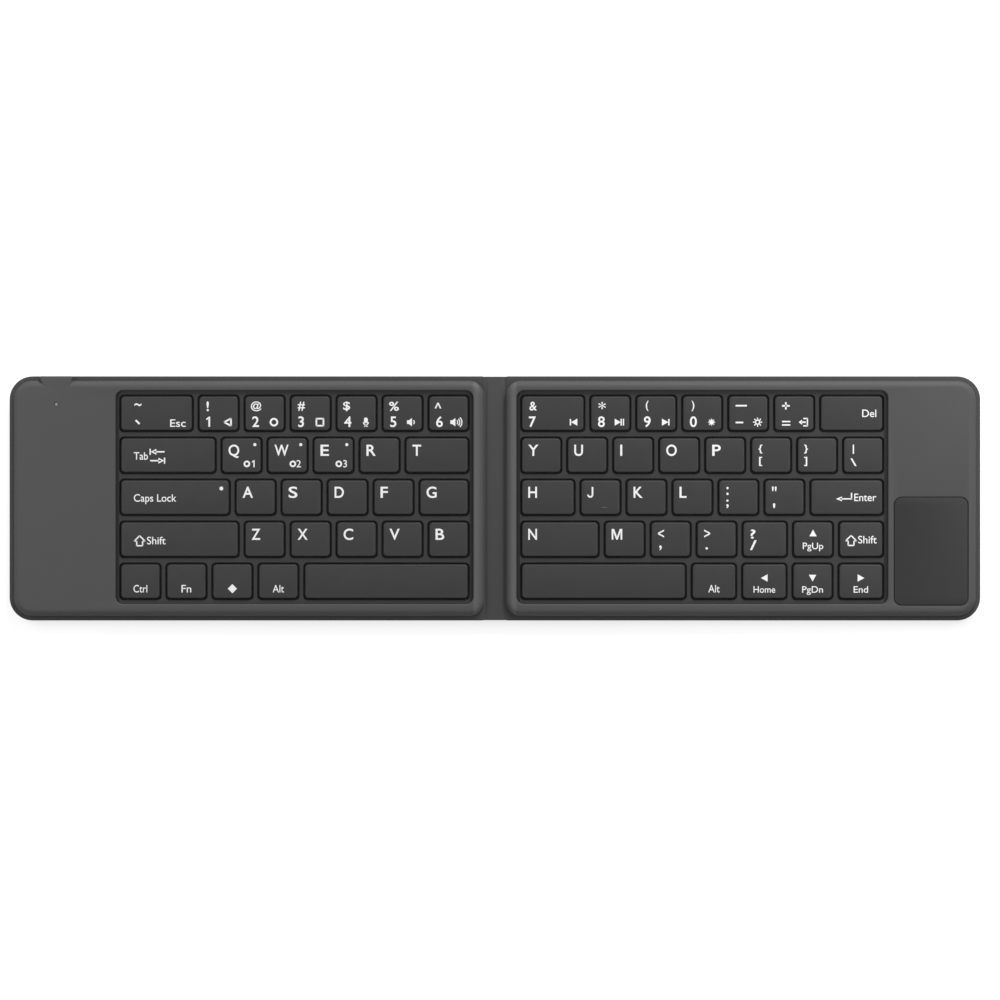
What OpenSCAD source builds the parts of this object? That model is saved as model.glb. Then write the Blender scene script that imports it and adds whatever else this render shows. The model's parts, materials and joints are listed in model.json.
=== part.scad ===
// Slim folding keyboard, opened flat: two rigid halves joined by a flexible spine with two fold lines.
// Origin at the middle of the underside, +X to the right-hand half, +Y to the rear edge, +Z up.

/* [Case] */
// Length of each half, from the middle of the spine to its outer end
half_len = 159; // [157:0.5:170]
// Depth from the front edge to the rear edge
depth = 80; // [79:0.5:90]
// Thickness of each half
height = 6.4; // [6.3:0.1:8]
// Radius of the four outer corners
corner_r = 7.6; // [5:0.1:9]
// Width of the thin seam flange that runs round each half
lip_w = 1.5; // [1:0.1:2]
// Thickness of the seam flange
lip_t = 0.9; // [0.7:0.05:1.1]
// Height of the underside of the seam flange
lip_z = 3.05; // [2.9:0.05:3.15]
// Thickness of the side walls
wall_t = 1.2; // [0.9:0.05:1.3]
// Thickness of the bottom plate
floor_t = 0.8; // [0.6:0.05:0.9]
// Thickness of the upper deck
deck_t = 1.2; // [1.1:0.05:1.3]
// Width of the rounded shoulder between the side wall and the deck
shoulder_w = 2.2; // [1.5:0.1:2.4]
// Height of the rounded shoulder
shoulder_h = 2; // [1.4:0.1:2.4]
// Width of the rounded edge of the underside
base_edge_w = 1.2; // [0.6:0.1:1.6]
// Height of the rounded edge of the underside
base_edge_h = 1.2; // [0.6:0.1:1.8]

/* [Spine] */
// Width of the rounded ridge between the spine and the deck
ridge_w = 2; // [1:0.05:2.2]
// Radius of the case corners beside the spine
ridge_r = 5; // [3:0.1:6]
// Gap left between the two decks when it is folded shut
fold_gap = 0.1; // [0.05:0.05:0.4]
// Running clearance between the spine and each half
fold_clear = 0.1; // [0.05:0.01:0.2]
// How far the spine strip stays back from the front and rear edges
spine_inset = 0.3; // [0.1:0.1:1]
// Width of the ribbon cable
cable_w = 12; // [8:0.5:20]
// Thickness of the ribbon cable
cable_t = 0.2; // [0.1:0.02:0.24]
// Clearance round the ribbon cable in its slots
cable_clear = 0.1; // [0.05:0.01:0.15]
// Length of the flat tail of the cable on each membrane
cable_tail = 2.6; // [1.5:0.1:3]

/* [Key field] */
// Pitch of a standard key along the row
key_pitch = 15.05; // [15:0.01:15.2]
// Pitch of the five rows
row_pitch = 13.75; // [13.5:0.05:14]
// Length of the key rows on the left half
left_field_w = 115.9; // [115:0.1:117]
// Length of the key rows on the right half
right_field_w = 120.4; // [120:0.1:121.2]
// Distance from the spine end of a half to its first key cell
field_gap = 4.15; // [3.9:0.05:4.5]
// How far the key rows sit behind the middle of the case
field_y = 0.35; // [-0.3:0.05:0.6]
// Margin of the sunk well round the key cells
well_margin = 0.6; // [0.3:0.05:0.8]
// Corner radius of the well
well_r = 2.5; // [1:0.1:3]
// Thickness of the key frame, the lattice between the keys
frame_t = 0.8; // [0.5:0.05:1]
// How far the key frame reaches under the deck round the well
frame_reach = 1.4; // [1:0.05:1.4]
// Width of the frame bar between two keys of a row
bar_x = 1.15; // [0.9:0.05:1.4]
// Width of the frame bar between two rows
bar_y = 1.35; // [1:0.05:1.6]

/* [Keys] */
// Gap between a keycap and its hole in the frame
key_gap = 0.6; // [0.4:0.05:0.7]
// How far the keycaps lie below the deck
key_drop = 0.4; // [0.3:0.05:0.6]
// Travel of a key
key_travel = 1.3; // [1:0.05:1.6]
// Gap left under a keycap at the end of its travel
press_gap = 0.85; // [0.6:0.05:1]
// Thickness of the keycap's top
cap_top_t = 0.8; // [0.6:0.05:1]
// Thickness of the keycap's skirt
cap_wall = 0.9; // [0.6:0.05:0.9]
// Corner radius of a keycap
cap_r = 1.2; // [0.8:0.1:1.6]
// Width of the small bevel round the keycap's top
cap_bevel = 0.3; // [0.15:0.05:0.5]
// Draw-in of the keycap's sides from bottom to bevel
cap_taper = 0.12; // [0.05:0.01:0.2]
// Cell width of the Esc key
esc_w = 25.6; // [24:0.1:28]
// Cell width of the Tab key
tab_w = 33.1; // [31:0.1:34]
// Cell width of the T key
t_w = 22.6; // [21:0.1:24]
// Cell width of the Caps Lock key
caps_w = 37.7; // [36:0.1:38.5]
// Cell width of the G key
g_w = 18; // [17:0.1:20]
// Cell width of the left-hand Shift key
left_shift_w = 40.65; // [39:0.05:42]
// Cell width of the left-hand space bar
left_space_w = 55.7; // [54:0.1:57]
// Cell width of the 7 key
seven_w = 22.6; // [21:0.1:24]
// Cell width of the Del key
del_w = 22.55; // [21:0.05:24]
// Cell width of the H key
h_w = 19.4; // [18:0.1:21]
// Cell width of the Enter key
enter_w = 25.75; // [24:0.05:28]
// Cell width of the N key
n_w = 27.3; // [26:0.1:28]
// Cell width of the slash key
slash_w = 16.5; // [16:0.1:17]
// Cell width of the right-hand Shift key
right_shift_w = 16.4; // [16:0.1:18]
// Cell width of the right-hand space bar
right_space_w = 55.8; // [54:0.1:57]
// Cell width of the right Alt key and of the Left arrow key
alt_w = 16.5; // [16:0.1:17]
// Cell width of the Right arrow key
right_w = 16.55; // [16:0.05:17]

/* [Touchpad] */
// Width of the touchpad
pad_w = 24; // [20:0.1:24.2]
// Depth of the touchpad
pad_d = 35.2; // [25:0.1:36]
// Thickness of the touchpad plate
pad_t = 0.8; // [0.6:0.05:0.9]
// Corner radius of the touchpad
pad_r = 2.4; // [1:0.1:3]
// Distance from the outer end of the case to the touchpad
pad_end = 4.25; // [4.1:0.05:5]
// Distance from the front edge of the case to the touchpad
pad_front = 5.1; // [4.3:0.1:8]
// Width of the groove round the touchpad
pad_groove = 0.25; // [0.1:0.05:0.35]
// How far the touchpad lies below the deck
pad_drop = 0.15; // [0.05:0.05:0.2]
// Width of the ledge under the rim of the touchpad
pad_ledge = 1.6; // [1:0.1:2]
// Thickness of that ledge
pad_ledge_t = 0.75; // [0.5:0.05:0.9]
// Thickness of the touchpad's sensor board
pad_board_t = 0.8; // [0.6:0.05:1]

/* [Charging port and light] */
// Distance from the outer end of the left half to the middle of the port
port_end = 15.1; // [14:0.1:17]
// Width of the flush boss round the port, at the rear edge
boss_w = 9.9; // [9.6:0.1:12]
// How much wider the boss is at its root, on each side
boss_flare = 1.2; // [0.6:0.1:1.6]
// Width of the port's shell
port_w = 8.94; // [8.5:0.02:9]
// Height of the port's shell
port_h = 3.26; // [3:0.02:3.3]
// Length of the port's shell
port_len = 7.35; // [6:0.05:8]
// Wall thickness of the port's shell
port_wall = 0.3; // [0.2:0.02:0.35]
// Height of the middle of the port
port_z = 2.85; // [2.7:0.05:3]
// How far the port's mouth lies inside the boss
port_set = 0.3; // [0.1:0.05:0.5]
// Thickness of the contact tongue
tongue_t = 0.7; // [0.5:0.05:0.8]
// Width of the contact tongue
tongue_w = 6.69; // [6:0.01:6.8]
// Length of the contact tongue
tongue_len = 4.45; // [3.5:0.05:5]
// Thickness of the port's back wall
port_back = 1.1; // [0.8:0.1:1.4]
// Clearance between the port's shell and the covers or the board
port_clear = 0.1; // [0.05:0.01:0.2]
// Radius of the light pipe
light_r = 0.5; // [0.3:0.05:0.8]
// Distance from the outer end of the left half to the light pipe
light_end = 15.5; // [14.5:0.1:17]
// Distance of the light pipe from the rear edge
light_back = 9.2; // [9:0.1:10.5]
// Clearance round the light pipe
light_clear = 0.05; // [0.02:0.01:0.1]
// Width of the collar that seats the light pipe under the deck
light_collar = 0.5; // [0.3:0.05:0.7]
// Height of that collar
light_collar_h = 0.5; // [0.3:0.05:0.8]
// Gap between the light pipe and the main board
light_lift = 0.3; // [0.1:0.05:0.6]

/* [Inside] */
// Height of the ribs that carry the key plate above the floor
rib_h = 0.6; // [0.4:0.05:0.7]
// Width of a rib
rib_w = 1.2; // [0.8:0.1:2]
// Number of ribs under each key plate
rib_count = 3; // [2:1:5]
// Thickness of the steel key plate
plate_t = 0.4; // [0.3:0.05:0.5]
// Thickness of the switch membrane
membrane_t = 0.25; // [0.15:0.05:0.3]
// Gap between the edge of a plate and the walls
plate_clear = 0.2; // [0.1:0.05:0.4]
// Gap between the foot of a rubber dome and the narrow scissor frame round it
dome_side = 0.35; // [0.2:0.05:0.8]
// Radius of a rubber dome at its top
dome_top_r = 1.5; // [1.2:0.1:1.8]
// Wall thickness of a rubber dome
dome_wall = 0.4; // [0.3:0.05:0.5]
// Gap between a dome or a scissor and the keycap above it
dome_gap = 0.05; // [0.02:0.01:0.1]
// Gap between a scissor and the front or rear skirt of its keycap
scissor_end = 0.4; // [0.3:0.05:0.8]
// Gap between the wide scissor frame and the side skirts of the narrowest keycap
scissor_side = 0.45; // [0.3:0.05:0.6]
// Width of a scissor bar
scissor_bar = 0.85; // [0.6:0.05:0.85]
// Thickness of a scissor bar
scissor_t = 0.6; // [0.4:0.05:0.8]
// Play between the two scissor frames
scissor_play = 0.15; // [0.1:0.05:0.15]
// Cell width from which a key has two scissors
two_scissor_w = 30; // [28:0.5:32]
// Gap between the battery and the outlines of the bay it lies in, on both sides
battery_gap = 0.8; // [0.5:0.1:4]
// Gap between the battery and the main board
battery_back = 4.7; // [3.7:0.1:12]
// Thickness of the battery
battery_t = 3; // [2:0.1:3.2]
// Distance from the front edge of the case to the battery
battery_front = 5; // [4.8:0.1:7]
// Thickness of the main board
board_t = 0.8; // [0.6:0.05:1]
// Gap between the main board and the key plate beside it
board_gap = 1.95; // [1.55:0.05:4.5]
// Depth of the main board
board_d = 26.4; // [24:0.1:27]
// Size of the radio chip
chip = [7, 7, 0.9];
// Gap between the radio chip and the film connector beside it
chip_gap = 3; // [1:0.1:4]
// Distance of the radio chip from the front edge of the main board
chip_front = 5.3; // [2:0.1:10]
// Size of the crystal
crystal = [3.2, 2.5, 0.7];
// Gap between the crystal and the radio chip in front of it
crystal_gap = 1.2; // [0.5:0.1:2]
// Size of the film connector
connector = [2.4, 10, 1.1];
// Distance of the film connector from the right edge of the main board
connector_edge = 0.5; // [0.2:0.1:2]
// Distance of the film connector from the front edge of the main board
connector_front = 6.6; // [2:0.1:14]
// Height of the posts that carry the main board above the floor
post_h = 0.7; // [0.5:0.05:0.9]
// Radius of a post
post_r = 1.2; // [0.8:0.1:1.6]
// Width of a closing magnet
magnet_w = 4; // [2:0.5:5]
// Depth of a closing magnet
magnet_d = 10; // [5:0.5:11]
// Thickness of a closing magnet
magnet_t = 1.2; // [0.8:0.1:1.3]
// Distance from the outer end of the case to the middle of a magnet
magnet_end = 8; // [7:0.1:8.2]
// Gap between the ledge of the touchpad and the magnet behind it
magnet_gap = 1.1; // [0.5:0.1:2]
// Gap between the rear magnet and the rear wall
magnet_back = 2.3; // [0.5:0.1:4]

/* [Hidden] */
LEFT = -1;
RIGHT = 1;
ROWS = 5;
CORNER_STEPS = 6;
SHOULDER_STEPS = 5;
EPS = 0.01;
CUT = 1;

soft_black = "#525252";
frame_black = "#3b3b3b";
cap_black = "#3f3f3f";
steel = "#9aa0a6";
film = "#2a2a2a";
nylon = "#303030";
board_green = "#1f5a3a";
pouch_silver = "#b9bcc0";
chip_black = "#202226";
cable_amber = "#b5722a";
light_white = "#e6e6e6";

seam_z = lip_z + lip_t;
lip_mid = lip_z + lip_t / 2;
fold_x = height - lip_mid + fold_gap / 2;
end_x = fold_x + lip_t / 2 + fold_clear;
ceiling_z = height - deck_t;
frame_z = ceiling_z - frame_t;
plate_z = floor_t + rib_h;
membrane_z = plate_z + plate_t;
membrane_top = membrane_z + membrane_t;
cap_z = membrane_top + press_gap + key_travel;
cap_h = height - key_drop - cap_z;
cap_ceiling = cap_z + cap_h - cap_top_t;
field_d = ROWS * row_pitch;
side_inset = lip_w + wall_t;
port_x = -half_len + port_end;
light_x = -half_len + light_end;
light_y = depth / 2 - light_back;
bay_end = half_len - side_inset - plate_clear;
board_y = depth / 2 - side_inset - plate_clear - board_d / 2;
board_z = floor_t + post_h;
board_w = bay_end + field_x0(LEFT) - well_margin - frame_reach - board_gap;
battery_w = board_w - 2 * battery_gap;
battery_d = depth / 2 - battery_front + board_y - board_d / 2 - battery_back;
pad_x = half_len - pad_end - pad_w / 2;
pad_y = -depth / 2 + pad_front + pad_d / 2;
pad_z = height - pad_drop - pad_t;
magnet_y = [pad_y + pad_d / 2 + pad_ledge + magnet_gap + magnet_d / 2,
            depth / 2 - side_inset - magnet_back - magnet_d / 2];

// Rows of [node, cell width] from left to right; the cells share the row's length in these proportions.
function same(node_name, count) = [for (i = [1:count]) [node_name, key_pitch]];
LEFT_ROWS = [
    concat([["left_number_row", esc_w]], same("left_number_row", 6)),
    [["key_tab", tab_w], ["key_q", key_pitch], ["key_w", key_pitch], ["key_e", key_pitch],
     ["key_r", key_pitch], ["key_t", t_w]],
    [["key_caps_lock", caps_w], ["key_a", key_pitch], ["key_s", key_pitch], ["key_d", key_pitch],
     ["key_f", key_pitch], ["key_g", g_w]],
    [["key_shift_left", left_shift_w], ["key_z", key_pitch], ["key_x", key_pitch], ["key_c", key_pitch],
     ["key_v", key_pitch], ["key_b", key_pitch]],
    concat(same("left_modifiers", 4), [["key_space_left", left_space_w]])
];
RIGHT_ROWS = [
    concat([["right_number_row", seven_w]], same("right_number_row", 5), [["right_number_row", del_w]]),
    [["key_y", key_pitch], ["key_u", key_pitch], ["key_i", key_pitch], ["key_o", key_pitch],
     ["key_p", key_pitch], ["punctuation_keys", key_pitch], ["punctuation_keys", key_pitch],
     ["punctuation_keys", key_pitch]],
    [["key_h", h_w], ["key_j", key_pitch], ["key_k", key_pitch], ["key_l", key_pitch],
     ["punctuation_keys", key_pitch], ["punctuation_keys", key_pitch], ["key_enter", enter_w]],
    [["key_n", n_w], ["key_m", key_pitch], ["punctuation_keys", key_pitch],
     ["punctuation_keys", key_pitch], ["punctuation_keys", slash_w], ["arrow_keys", key_pitch],
     ["key_shift_right", right_shift_w]],
    [["key_space_right", right_space_w], ["arrow_keys", alt_w], ["arrow_keys", alt_w],
     ["arrow_keys", key_pitch], ["arrow_keys", right_w]]
];

function total(v, i = 0) = i < len(v) ? v[i] + total(v, i + 1) : 0;
function cell_widths(row, length) =
    let (all = total([for (k = row) k[1]])) [for (k = row) k[1] * length / all];
function row_y(r) = field_y + ((ROWS - 1) / 2 - r) * row_pitch;
function row_cells(row, r, x0, length) =
    let (w = cell_widths(row, length))
    [for (i = [0:len(row) - 1]) [row[i][0], x0 + total([for (j = [0:i]) w[j]]) - w[i] / 2, row_y(r), w[i]]];
function field_w(side) = side == LEFT ? left_field_w : right_field_w;
function field_x0(side) = side == LEFT ? -end_x - field_gap - left_field_w : end_x + field_gap;
function cells(side) =
    let (rows = side == LEFT ? LEFT_ROWS : RIGHT_ROWS)
    [for (r = [0:ROWS - 1]) each row_cells(rows[r], r, field_x0(side), field_w(side))];
function first_of_each(names) =
    [for (i = [0:len(names) - 1]) if (search([names[i]], names)[0] == i) names[i]];

LEFT_CELLS = cells(LEFT);
RIGHT_CELLS = cells(RIGHT);
ALL_CELLS = concat(LEFT_CELLS, RIGHT_CELLS);
KEY_NODES = first_of_each([for (c = ALL_CELLS) c[0]]);

// The scissors are all alike, so the narrowest keycap sets their width.
skirt_room = bar_x + 2 * key_gap + 2 * cap_wall;
scissor_w = min([for (c = ALL_CELLS) c[3]]) - skirt_room - 2 * scissor_side;
narrow_scissor_w = scissor_w - 2 * scissor_bar - 2 * scissor_play;
scissor_len = row_pitch - bar_y - 2 * key_gap - 2 * cap_wall - 2 * scissor_end;
dome_r = narrow_scissor_w / 2 - scissor_bar - dome_side;

// Outline helpers: rectangles with round corners, all with the same number of points.
function corner(x, y, r, from) =
    [for (i = [0:CORNER_STEPS]) let (a = from + 90 * i / CORNER_STEPS) [x + r * cos(a), y + r * sin(a)]];
function rounded(x0, x1, y0, y1, r0, r1) = concat(
    corner(x1 - r1, y1 - r1, r1, 0), corner(x0 + r0, y1 - r0, r0, 90),
    corner(x0 + r0, y0 + r0, r0, 180), corner(x1 - r1, y0 + r1, r1, 270));
function rounded_rect(w, d, r) = rounded(-w / 2, w / 2, -d / 2, d / 2, r, r);
// Outline of a half, drawn in by `inset` all round and by `at_spine` at the spine end.
function half_outline(side, inset, at_spine, r_spine) =
    let (far = half_len - inset, near = end_x + at_spine, y = depth / 2 - inset, r = corner_r - inset)
    side == LEFT ? rounded(-far, -near, -y, y, r, r_spine) : rounded(near, far, -y, y, r_spine, r);
// Outline of a rectangle that reaches `grow` past the key cells of a half.
function field_outline(side, grow, r) =
    rounded(field_x0(side) - grow, field_x0(side) + field_w(side) + grow,
            field_y - field_d / 2 - grow, field_y + field_d / 2 + grow, r, r);
function at_height(points, z) = [for (p = points) [p[0], p[1], z]];

// Solid skinned over a stack of outlines with equal numbers of points.
module loft(rings) {
    n = len(rings[0]);
    last = len(rings) - 1;
    sides = [for (k = [0:last - 1], i = [0:n - 1])
        let (a = k * n + i, b = k * n + (i + 1) % n) each [[a, b + n, b], [a, a + n, b + n]]];
    polyhedron([for (r = rings) each r],
               concat([[for (i = [0:n - 1]) i]], sides, [[for (i = [0:n - 1]) last * n + n - 1 - i]]));
}

module block(x0, x1, y0, y1, z0, z1) {
    translate([x0, y0, z0]) cube([x1 - x0, y1 - y0, z1 - z0]);
}

module slab(points, z0, z1) {
    translate([0, 0, z0]) linear_extrude(z1 - z0) polygon(points);
}

module place(cell) {
    translate([cell[1], cell[2], 0]) children();
}

// Stadium-shaped bar along Y, from y0 to y1, round the middle of the port.
module port_bar(w, h, y0, y1) {
    translate([port_x, y1, port_z]) rotate([90, 0, 0])
        linear_extrude(y1 - y0) polygon(rounded_rect(w, h, h / 2 - EPS));
}

// Boss that fills the seam flange and the shoulder round the port.
module port_boss(z0, z1) {
    root_y = depth / 2 - lip_w - shoulder_w - CUT / 2;
    root = boss_w / 2 + boss_flare;
    slab([[port_x - root, root_y], [port_x + root, root_y], [port_x + root, depth / 2 - lip_w],
          [port_x + boss_w / 2, depth / 2], [port_x - boss_w / 2, depth / 2],
          [port_x - root, depth / 2 - lip_w]], z0, z1);
}

module port_cutout() {
    port_bar(port_w + 2 * port_clear, port_h + 2 * port_clear,
             depth / 2 - side_inset - CUT, depth / 2 + CUT);
}

module upper_body(side) {
    steps = [for (i = [0:SHOULDER_STEPS]) 90 * i / SHOULDER_STEPS];
    shoulder = [for (a = steps) at_height(
        half_outline(side, lip_w + shoulder_w * (1 - cos(a)), ridge_w * (1 - cos(a)),
                     ridge_r - ridge_w * (1 - cos(a))),
        height - shoulder_h * (1 - sin(a)))];
    loft(concat([at_height(half_outline(side, lip_w, 0, ridge_r), seam_z)], shoulder));
}

module lower_body(side) {
    steps = [for (i = [0:SHOULDER_STEPS - 1]) 90 * i / SHOULDER_STEPS];
    edge = [for (a = steps) at_height(
        half_outline(side, lip_w + base_edge_w * (1 - sin(a)), 0, ridge_r),
        base_edge_h * (1 - cos(a)))];
    loft(concat(edge, [at_height(half_outline(side, lip_w, 0, ridge_r), seam_z)]));
    slab(half_outline(side, 0, 0, lip_w / 2), lip_z, seam_z);
}

// Space inside the walls of a half, between two heights.
module hollow(side, z0, z1) {
    slab(half_outline(side, side_inset, wall_t, ridge_r - wall_t), z0, z1);
}

module top_shell(side) {
    difference() {
        union() {
            upper_body(side);
            if (side == LEFT) port_boss(seam_z, height);
        }
        hollow(side, seam_z - CUT, ceiling_z);
        slab(field_outline(side, well_margin, well_r), ceiling_z - CUT, height + CUT);
    }
}

module left_top_cover() {
    color(soft_black) difference() {
        top_shell(LEFT);
        port_cutout();
        translate([light_x, light_y, ceiling_z - CUT])
            cylinder(r = light_r + light_clear, h = deck_t + 2 * CUT, $fn = 32);
    }
}

// Thickened deck under the rim of the touchpad, joined to the outer wall and clear of the key frame.
module pad_ledge_block() {
    difference() {
        intersection() {
            hollow(RIGHT, pad_z - pad_ledge_t, ceiling_z + EPS);
            translate([pad_x, pad_y, 0])
                slab(rounded_rect(pad_w + 2 * pad_ledge, pad_d + 2 * pad_ledge, pad_r), 0, height);
        }
        slab(field_outline(RIGHT, well_margin + frame_reach + plate_clear, well_r), 0, height);
    }
}

module right_top_cover() {
    groove_w = pad_w + 2 * pad_groove;
    groove_d = pad_d + 2 * pad_groove;
    color(soft_black) difference() {
        union() {
            top_shell(RIGHT);
            pad_ledge_block();
        }
        translate([pad_x, pad_y, 0]) {
            slab(rounded_rect(groove_w, groove_d, pad_r + pad_groove), pad_z, height + CUT);
            slab(rounded_rect(pad_w - 2 * pad_ledge, pad_d - 2 * pad_ledge, pad_r / 2), 0, height + CUT);
        }
    }
}

module bottom_cover(side) {
    rib_room = field_d / rib_count;
    difference() {
        lower_body(side);
        hollow(side, floor_t, seam_z + CUT);
        block(-half_len / 2, half_len / 2, -cable_w / 2 - cable_clear, cable_w / 2 + cable_clear,
              lip_mid - cable_t / 2 - cable_clear, lip_mid + cable_t / 2 + cable_clear);
    }
    for (i = [0:rib_count - 1]) {
        y = field_y + (i - (rib_count - 1) / 2) * rib_room;
        block(field_x0(side), field_x0(side) + field_w(side), y - rib_w / 2, y + rib_w / 2,
              floor_t / 2, plate_z);
    }
}

module left_bottom_cover() {
    color(soft_black) {
        difference() {
            union() {
                bottom_cover(LEFT);
                difference() {
                    port_boss(floor_t, seam_z);
                    hollow(LEFT, 0, seam_z + CUT);
                }
            }
            port_cutout();
        }
        for (x = [-1, 1], y = [-1, 1])
            translate([-bay_end + board_w / 2 + x * (board_w / 2 - 2 * post_r),
                       board_y - post_r + y * (board_d / 2 - 4 * post_r), floor_t / 2])
                cylinder(r = post_r, h = board_z - floor_t / 2, $fn = 32);
    }
}

module right_bottom_cover() {
    color(soft_black) bottom_cover(RIGHT);
}

module key_frame(side) {
    color(frame_black) difference() {
        slab(field_outline(side, well_margin + frame_reach, well_r), frame_z, ceiling_z);
        for (c = cells(side))
            place(c) slab(rounded_rect(c[3] - bar_x, row_pitch - bar_y, cap_r + key_gap / 2),
                          frame_z - CUT, ceiling_z + CUT);
    }
}

module key_plate(side) {
    color(steel) slab(field_outline(side, well_margin + frame_reach, well_r), plate_z, membrane_z);
}

module dome() {
    h = cap_ceiling - dome_gap - membrane_top;
    difference() {
        cylinder(r1 = dome_r, r2 = dome_top_r, h = h, $fn = 24);
        translate([0, 0, -EPS])
            cylinder(r1 = dome_r - dome_wall, r2 = dome_top_r - dome_wall, h = h - dome_wall, $fn = 24);
    }
}

module membrane(side) {
    color(film) {
        slab(field_outline(side, well_margin + frame_reach - plate_clear, well_r), membrane_z, membrane_top);
        for (c = cells(side)) place(c) translate([0, 0, membrane_top - EPS]) dome();
    }
}

module scissor_frame(w, lean) {
    rotate([lean, 0, 0]) difference() {
        cube([w, scissor_len, scissor_t], center = true);
        cube([w - 2 * scissor_bar, scissor_len - 2 * scissor_bar, scissor_t + CUT], center = true);
    }
}

module scissor() {
    room = cap_ceiling - membrane_top - 2 * dome_gap;
    lean = asin((room - scissor_t) / scissor_len);
    translate([0, 0, (cap_ceiling + membrane_top) / 2]) {
        scissor_frame(scissor_w, lean);
        scissor_frame(narrow_scissor_w, -lean);
    }
}

module scissors(side) {
    color(nylon) for (c = cells(side)) {
        offsets = c[3] > two_scissor_w ? [-c[3] / 4, c[3] / 4] : [0];
        for (dx = offsets) translate([c[1] + dx, c[2], 0]) scissor();
    }
}

module bevel_profile(w) {
    top = w / 2 - cap_taper;
    polygon([[-w / 2, 0], [w / 2, 0], [top, cap_h - cap_bevel], [top - cap_bevel, cap_h],
             [cap_bevel - top, cap_h], [-top, cap_h - cap_bevel]]);
}

module keycap(w, d) {
    difference() {
        intersection() {
            slab(rounded_rect(w, d, cap_r), 0, cap_h + CUT);
            translate([0, d, 0]) rotate([90, 0, 0]) linear_extrude(2 * d) bevel_profile(w);
            translate([-w, 0, 0]) rotate([90, 0, 90]) linear_extrude(2 * w) bevel_profile(d);
        }
        slab(rounded_rect(w - 2 * cap_wall, d - 2 * cap_wall, cap_r / 2), -CUT, cap_h - cap_top_t);
    }
}

module keys(node_name) {
    color(cap_black) for (c = ALL_CELLS) if (c[0] == node_name)
        place(c) translate([0, 0, cap_z])
            keycap(c[3] - bar_x - 2 * key_gap, row_pitch - bar_y - 2 * key_gap);
}

module left_key_frame() { key_frame(LEFT); }
module left_key_plate() { key_plate(LEFT); }
module left_membrane() { membrane(LEFT); }
module left_scissors() { scissors(LEFT); }
module right_key_frame() { key_frame(RIGHT); }
module right_key_plate() { key_plate(RIGHT); }
module right_membrane() { membrane(RIGHT); }
module right_scissors() { scissors(RIGHT); }

module main_board() {
    x0 = -bay_end;
    y0 = board_y - board_d / 2;
    top = board_z + board_t;
    color(board_green) difference() {
        intersection() {
            block(x0, x0 + board_w, y0, y0 + board_d, board_z, top);
            slab(half_outline(LEFT, side_inset + plate_clear, wall_t, ridge_r), 0, height);
        }
        block(port_x - port_w / 2 - port_clear, port_x + port_w / 2 + port_clear,
              depth / 2 - port_set - port_len - port_clear, depth, 0, height);
    }
    connector_x = board_w - connector[0] - connector_edge;
    chip_x = connector_x - chip_gap - chip[0];
    color(chip_black) translate([x0, y0, top - EPS]) {
        translate([connector_x, connector_front]) cube(connector);
        translate([chip_x, chip_front]) cube(chip);
        translate([chip_x, chip_front + chip[1] + crystal_gap]) cube(crystal);
    }
}

module battery() {
    color(pouch_silver)
        translate([-bay_end + board_w / 2, -depth / 2 + battery_front + battery_d, floor_t + battery_t / 2])
            rotate([90, 0, 0]) linear_extrude(battery_d)
                polygon(rounded_rect(battery_w, battery_t, battery_t / 3));
}

module usb_socket() {
    mouth = depth / 2 - port_set;
    back = mouth - port_len;
    color(steel) {
        difference() {
            port_bar(port_w, port_h, back, mouth);
            port_bar(port_w - 2 * port_wall, port_h - 2 * port_wall, back + port_back, mouth + CUT);
        }
        block(port_x - tongue_w / 2, port_x + tongue_w / 2, back + port_back - EPS,
              back + port_back + tongue_len, port_z - tongue_t / 2, port_z + tongue_t / 2);
    }
}

module charge_light() {
    foot = board_z + board_t + light_lift;
    color(light_white) translate([light_x, light_y, 0]) {
        translate([0, 0, foot]) cylinder(r = light_r, h = height - foot, $fn = 32);
        translate([0, 0, ceiling_z - light_collar_h])
            cylinder(r = light_r + light_collar, h = light_collar_h, $fn = 32);
    }
}

module magnets(side) {
    color(steel) for (y = magnet_y)
        translate([side * (half_len - magnet_end), y, ceiling_z - magnet_t / 2])
            cube([magnet_w, magnet_d, magnet_t], center = true);
}

module left_magnets() { magnets(LEFT); }
module right_magnets() { magnets(RIGHT); }

module spine() {
    long = depth / 2 - spine_inset;
    color(soft_black) difference() {
        union() {
            block(-fold_x, fold_x, -long, long, lip_z, seam_z);
            for (s = [LEFT, RIGHT])
                translate([s * fold_x, long, lip_mid]) rotate([90, 0, 0])
                    cylinder(d = lip_t, h = 2 * long, $fn = 32);
        }
        block(-end_x, end_x, -cable_w / 2 - cable_clear, cable_w / 2 + cable_clear,
              lip_mid - cable_t / 2 - cable_clear, lip_mid + cable_t / 2 + cable_clear);
    }
}

module ribbon_cable() {
    riser_x = end_x + wall_t + plate_clear + cable_t;
    tail_z = membrane_top + cable_clear / 2;
    y = cable_w / 2;
    color(cable_amber) {
        block(-riser_x, riser_x, -y, y, lip_mid - cable_t / 2, lip_mid + cable_t / 2);
        for (s = [LEFT, RIGHT]) {
            inner = s * riser_x;
            outer = s * (riser_x + cable_t);
            block(min(inner, outer), max(inner, outer), -y, y, tail_z, lip_mid + cable_t / 2);
            tail = s * (riser_x + cable_tail);
            block(min(inner, tail), max(inner, tail), -y, y, tail_z, tail_z + cable_t);
        }
    }
}

module touchpad() {
    color(cap_black) translate([pad_x, pad_y, 0])
        slab(rounded_rect(pad_w, pad_d, pad_r), pad_z, pad_z + pad_t);
}

module touchpad_board() {
    color(board_green) translate([pad_x, pad_y, 0])
        slab(rounded_rect(pad_w - 2 * pad_ledge - 2 * plate_clear, pad_d - 2 * pad_ledge - 2 * plate_clear,
                          pad_r / 2), pad_z - pad_board_t, pad_z);
}

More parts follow.
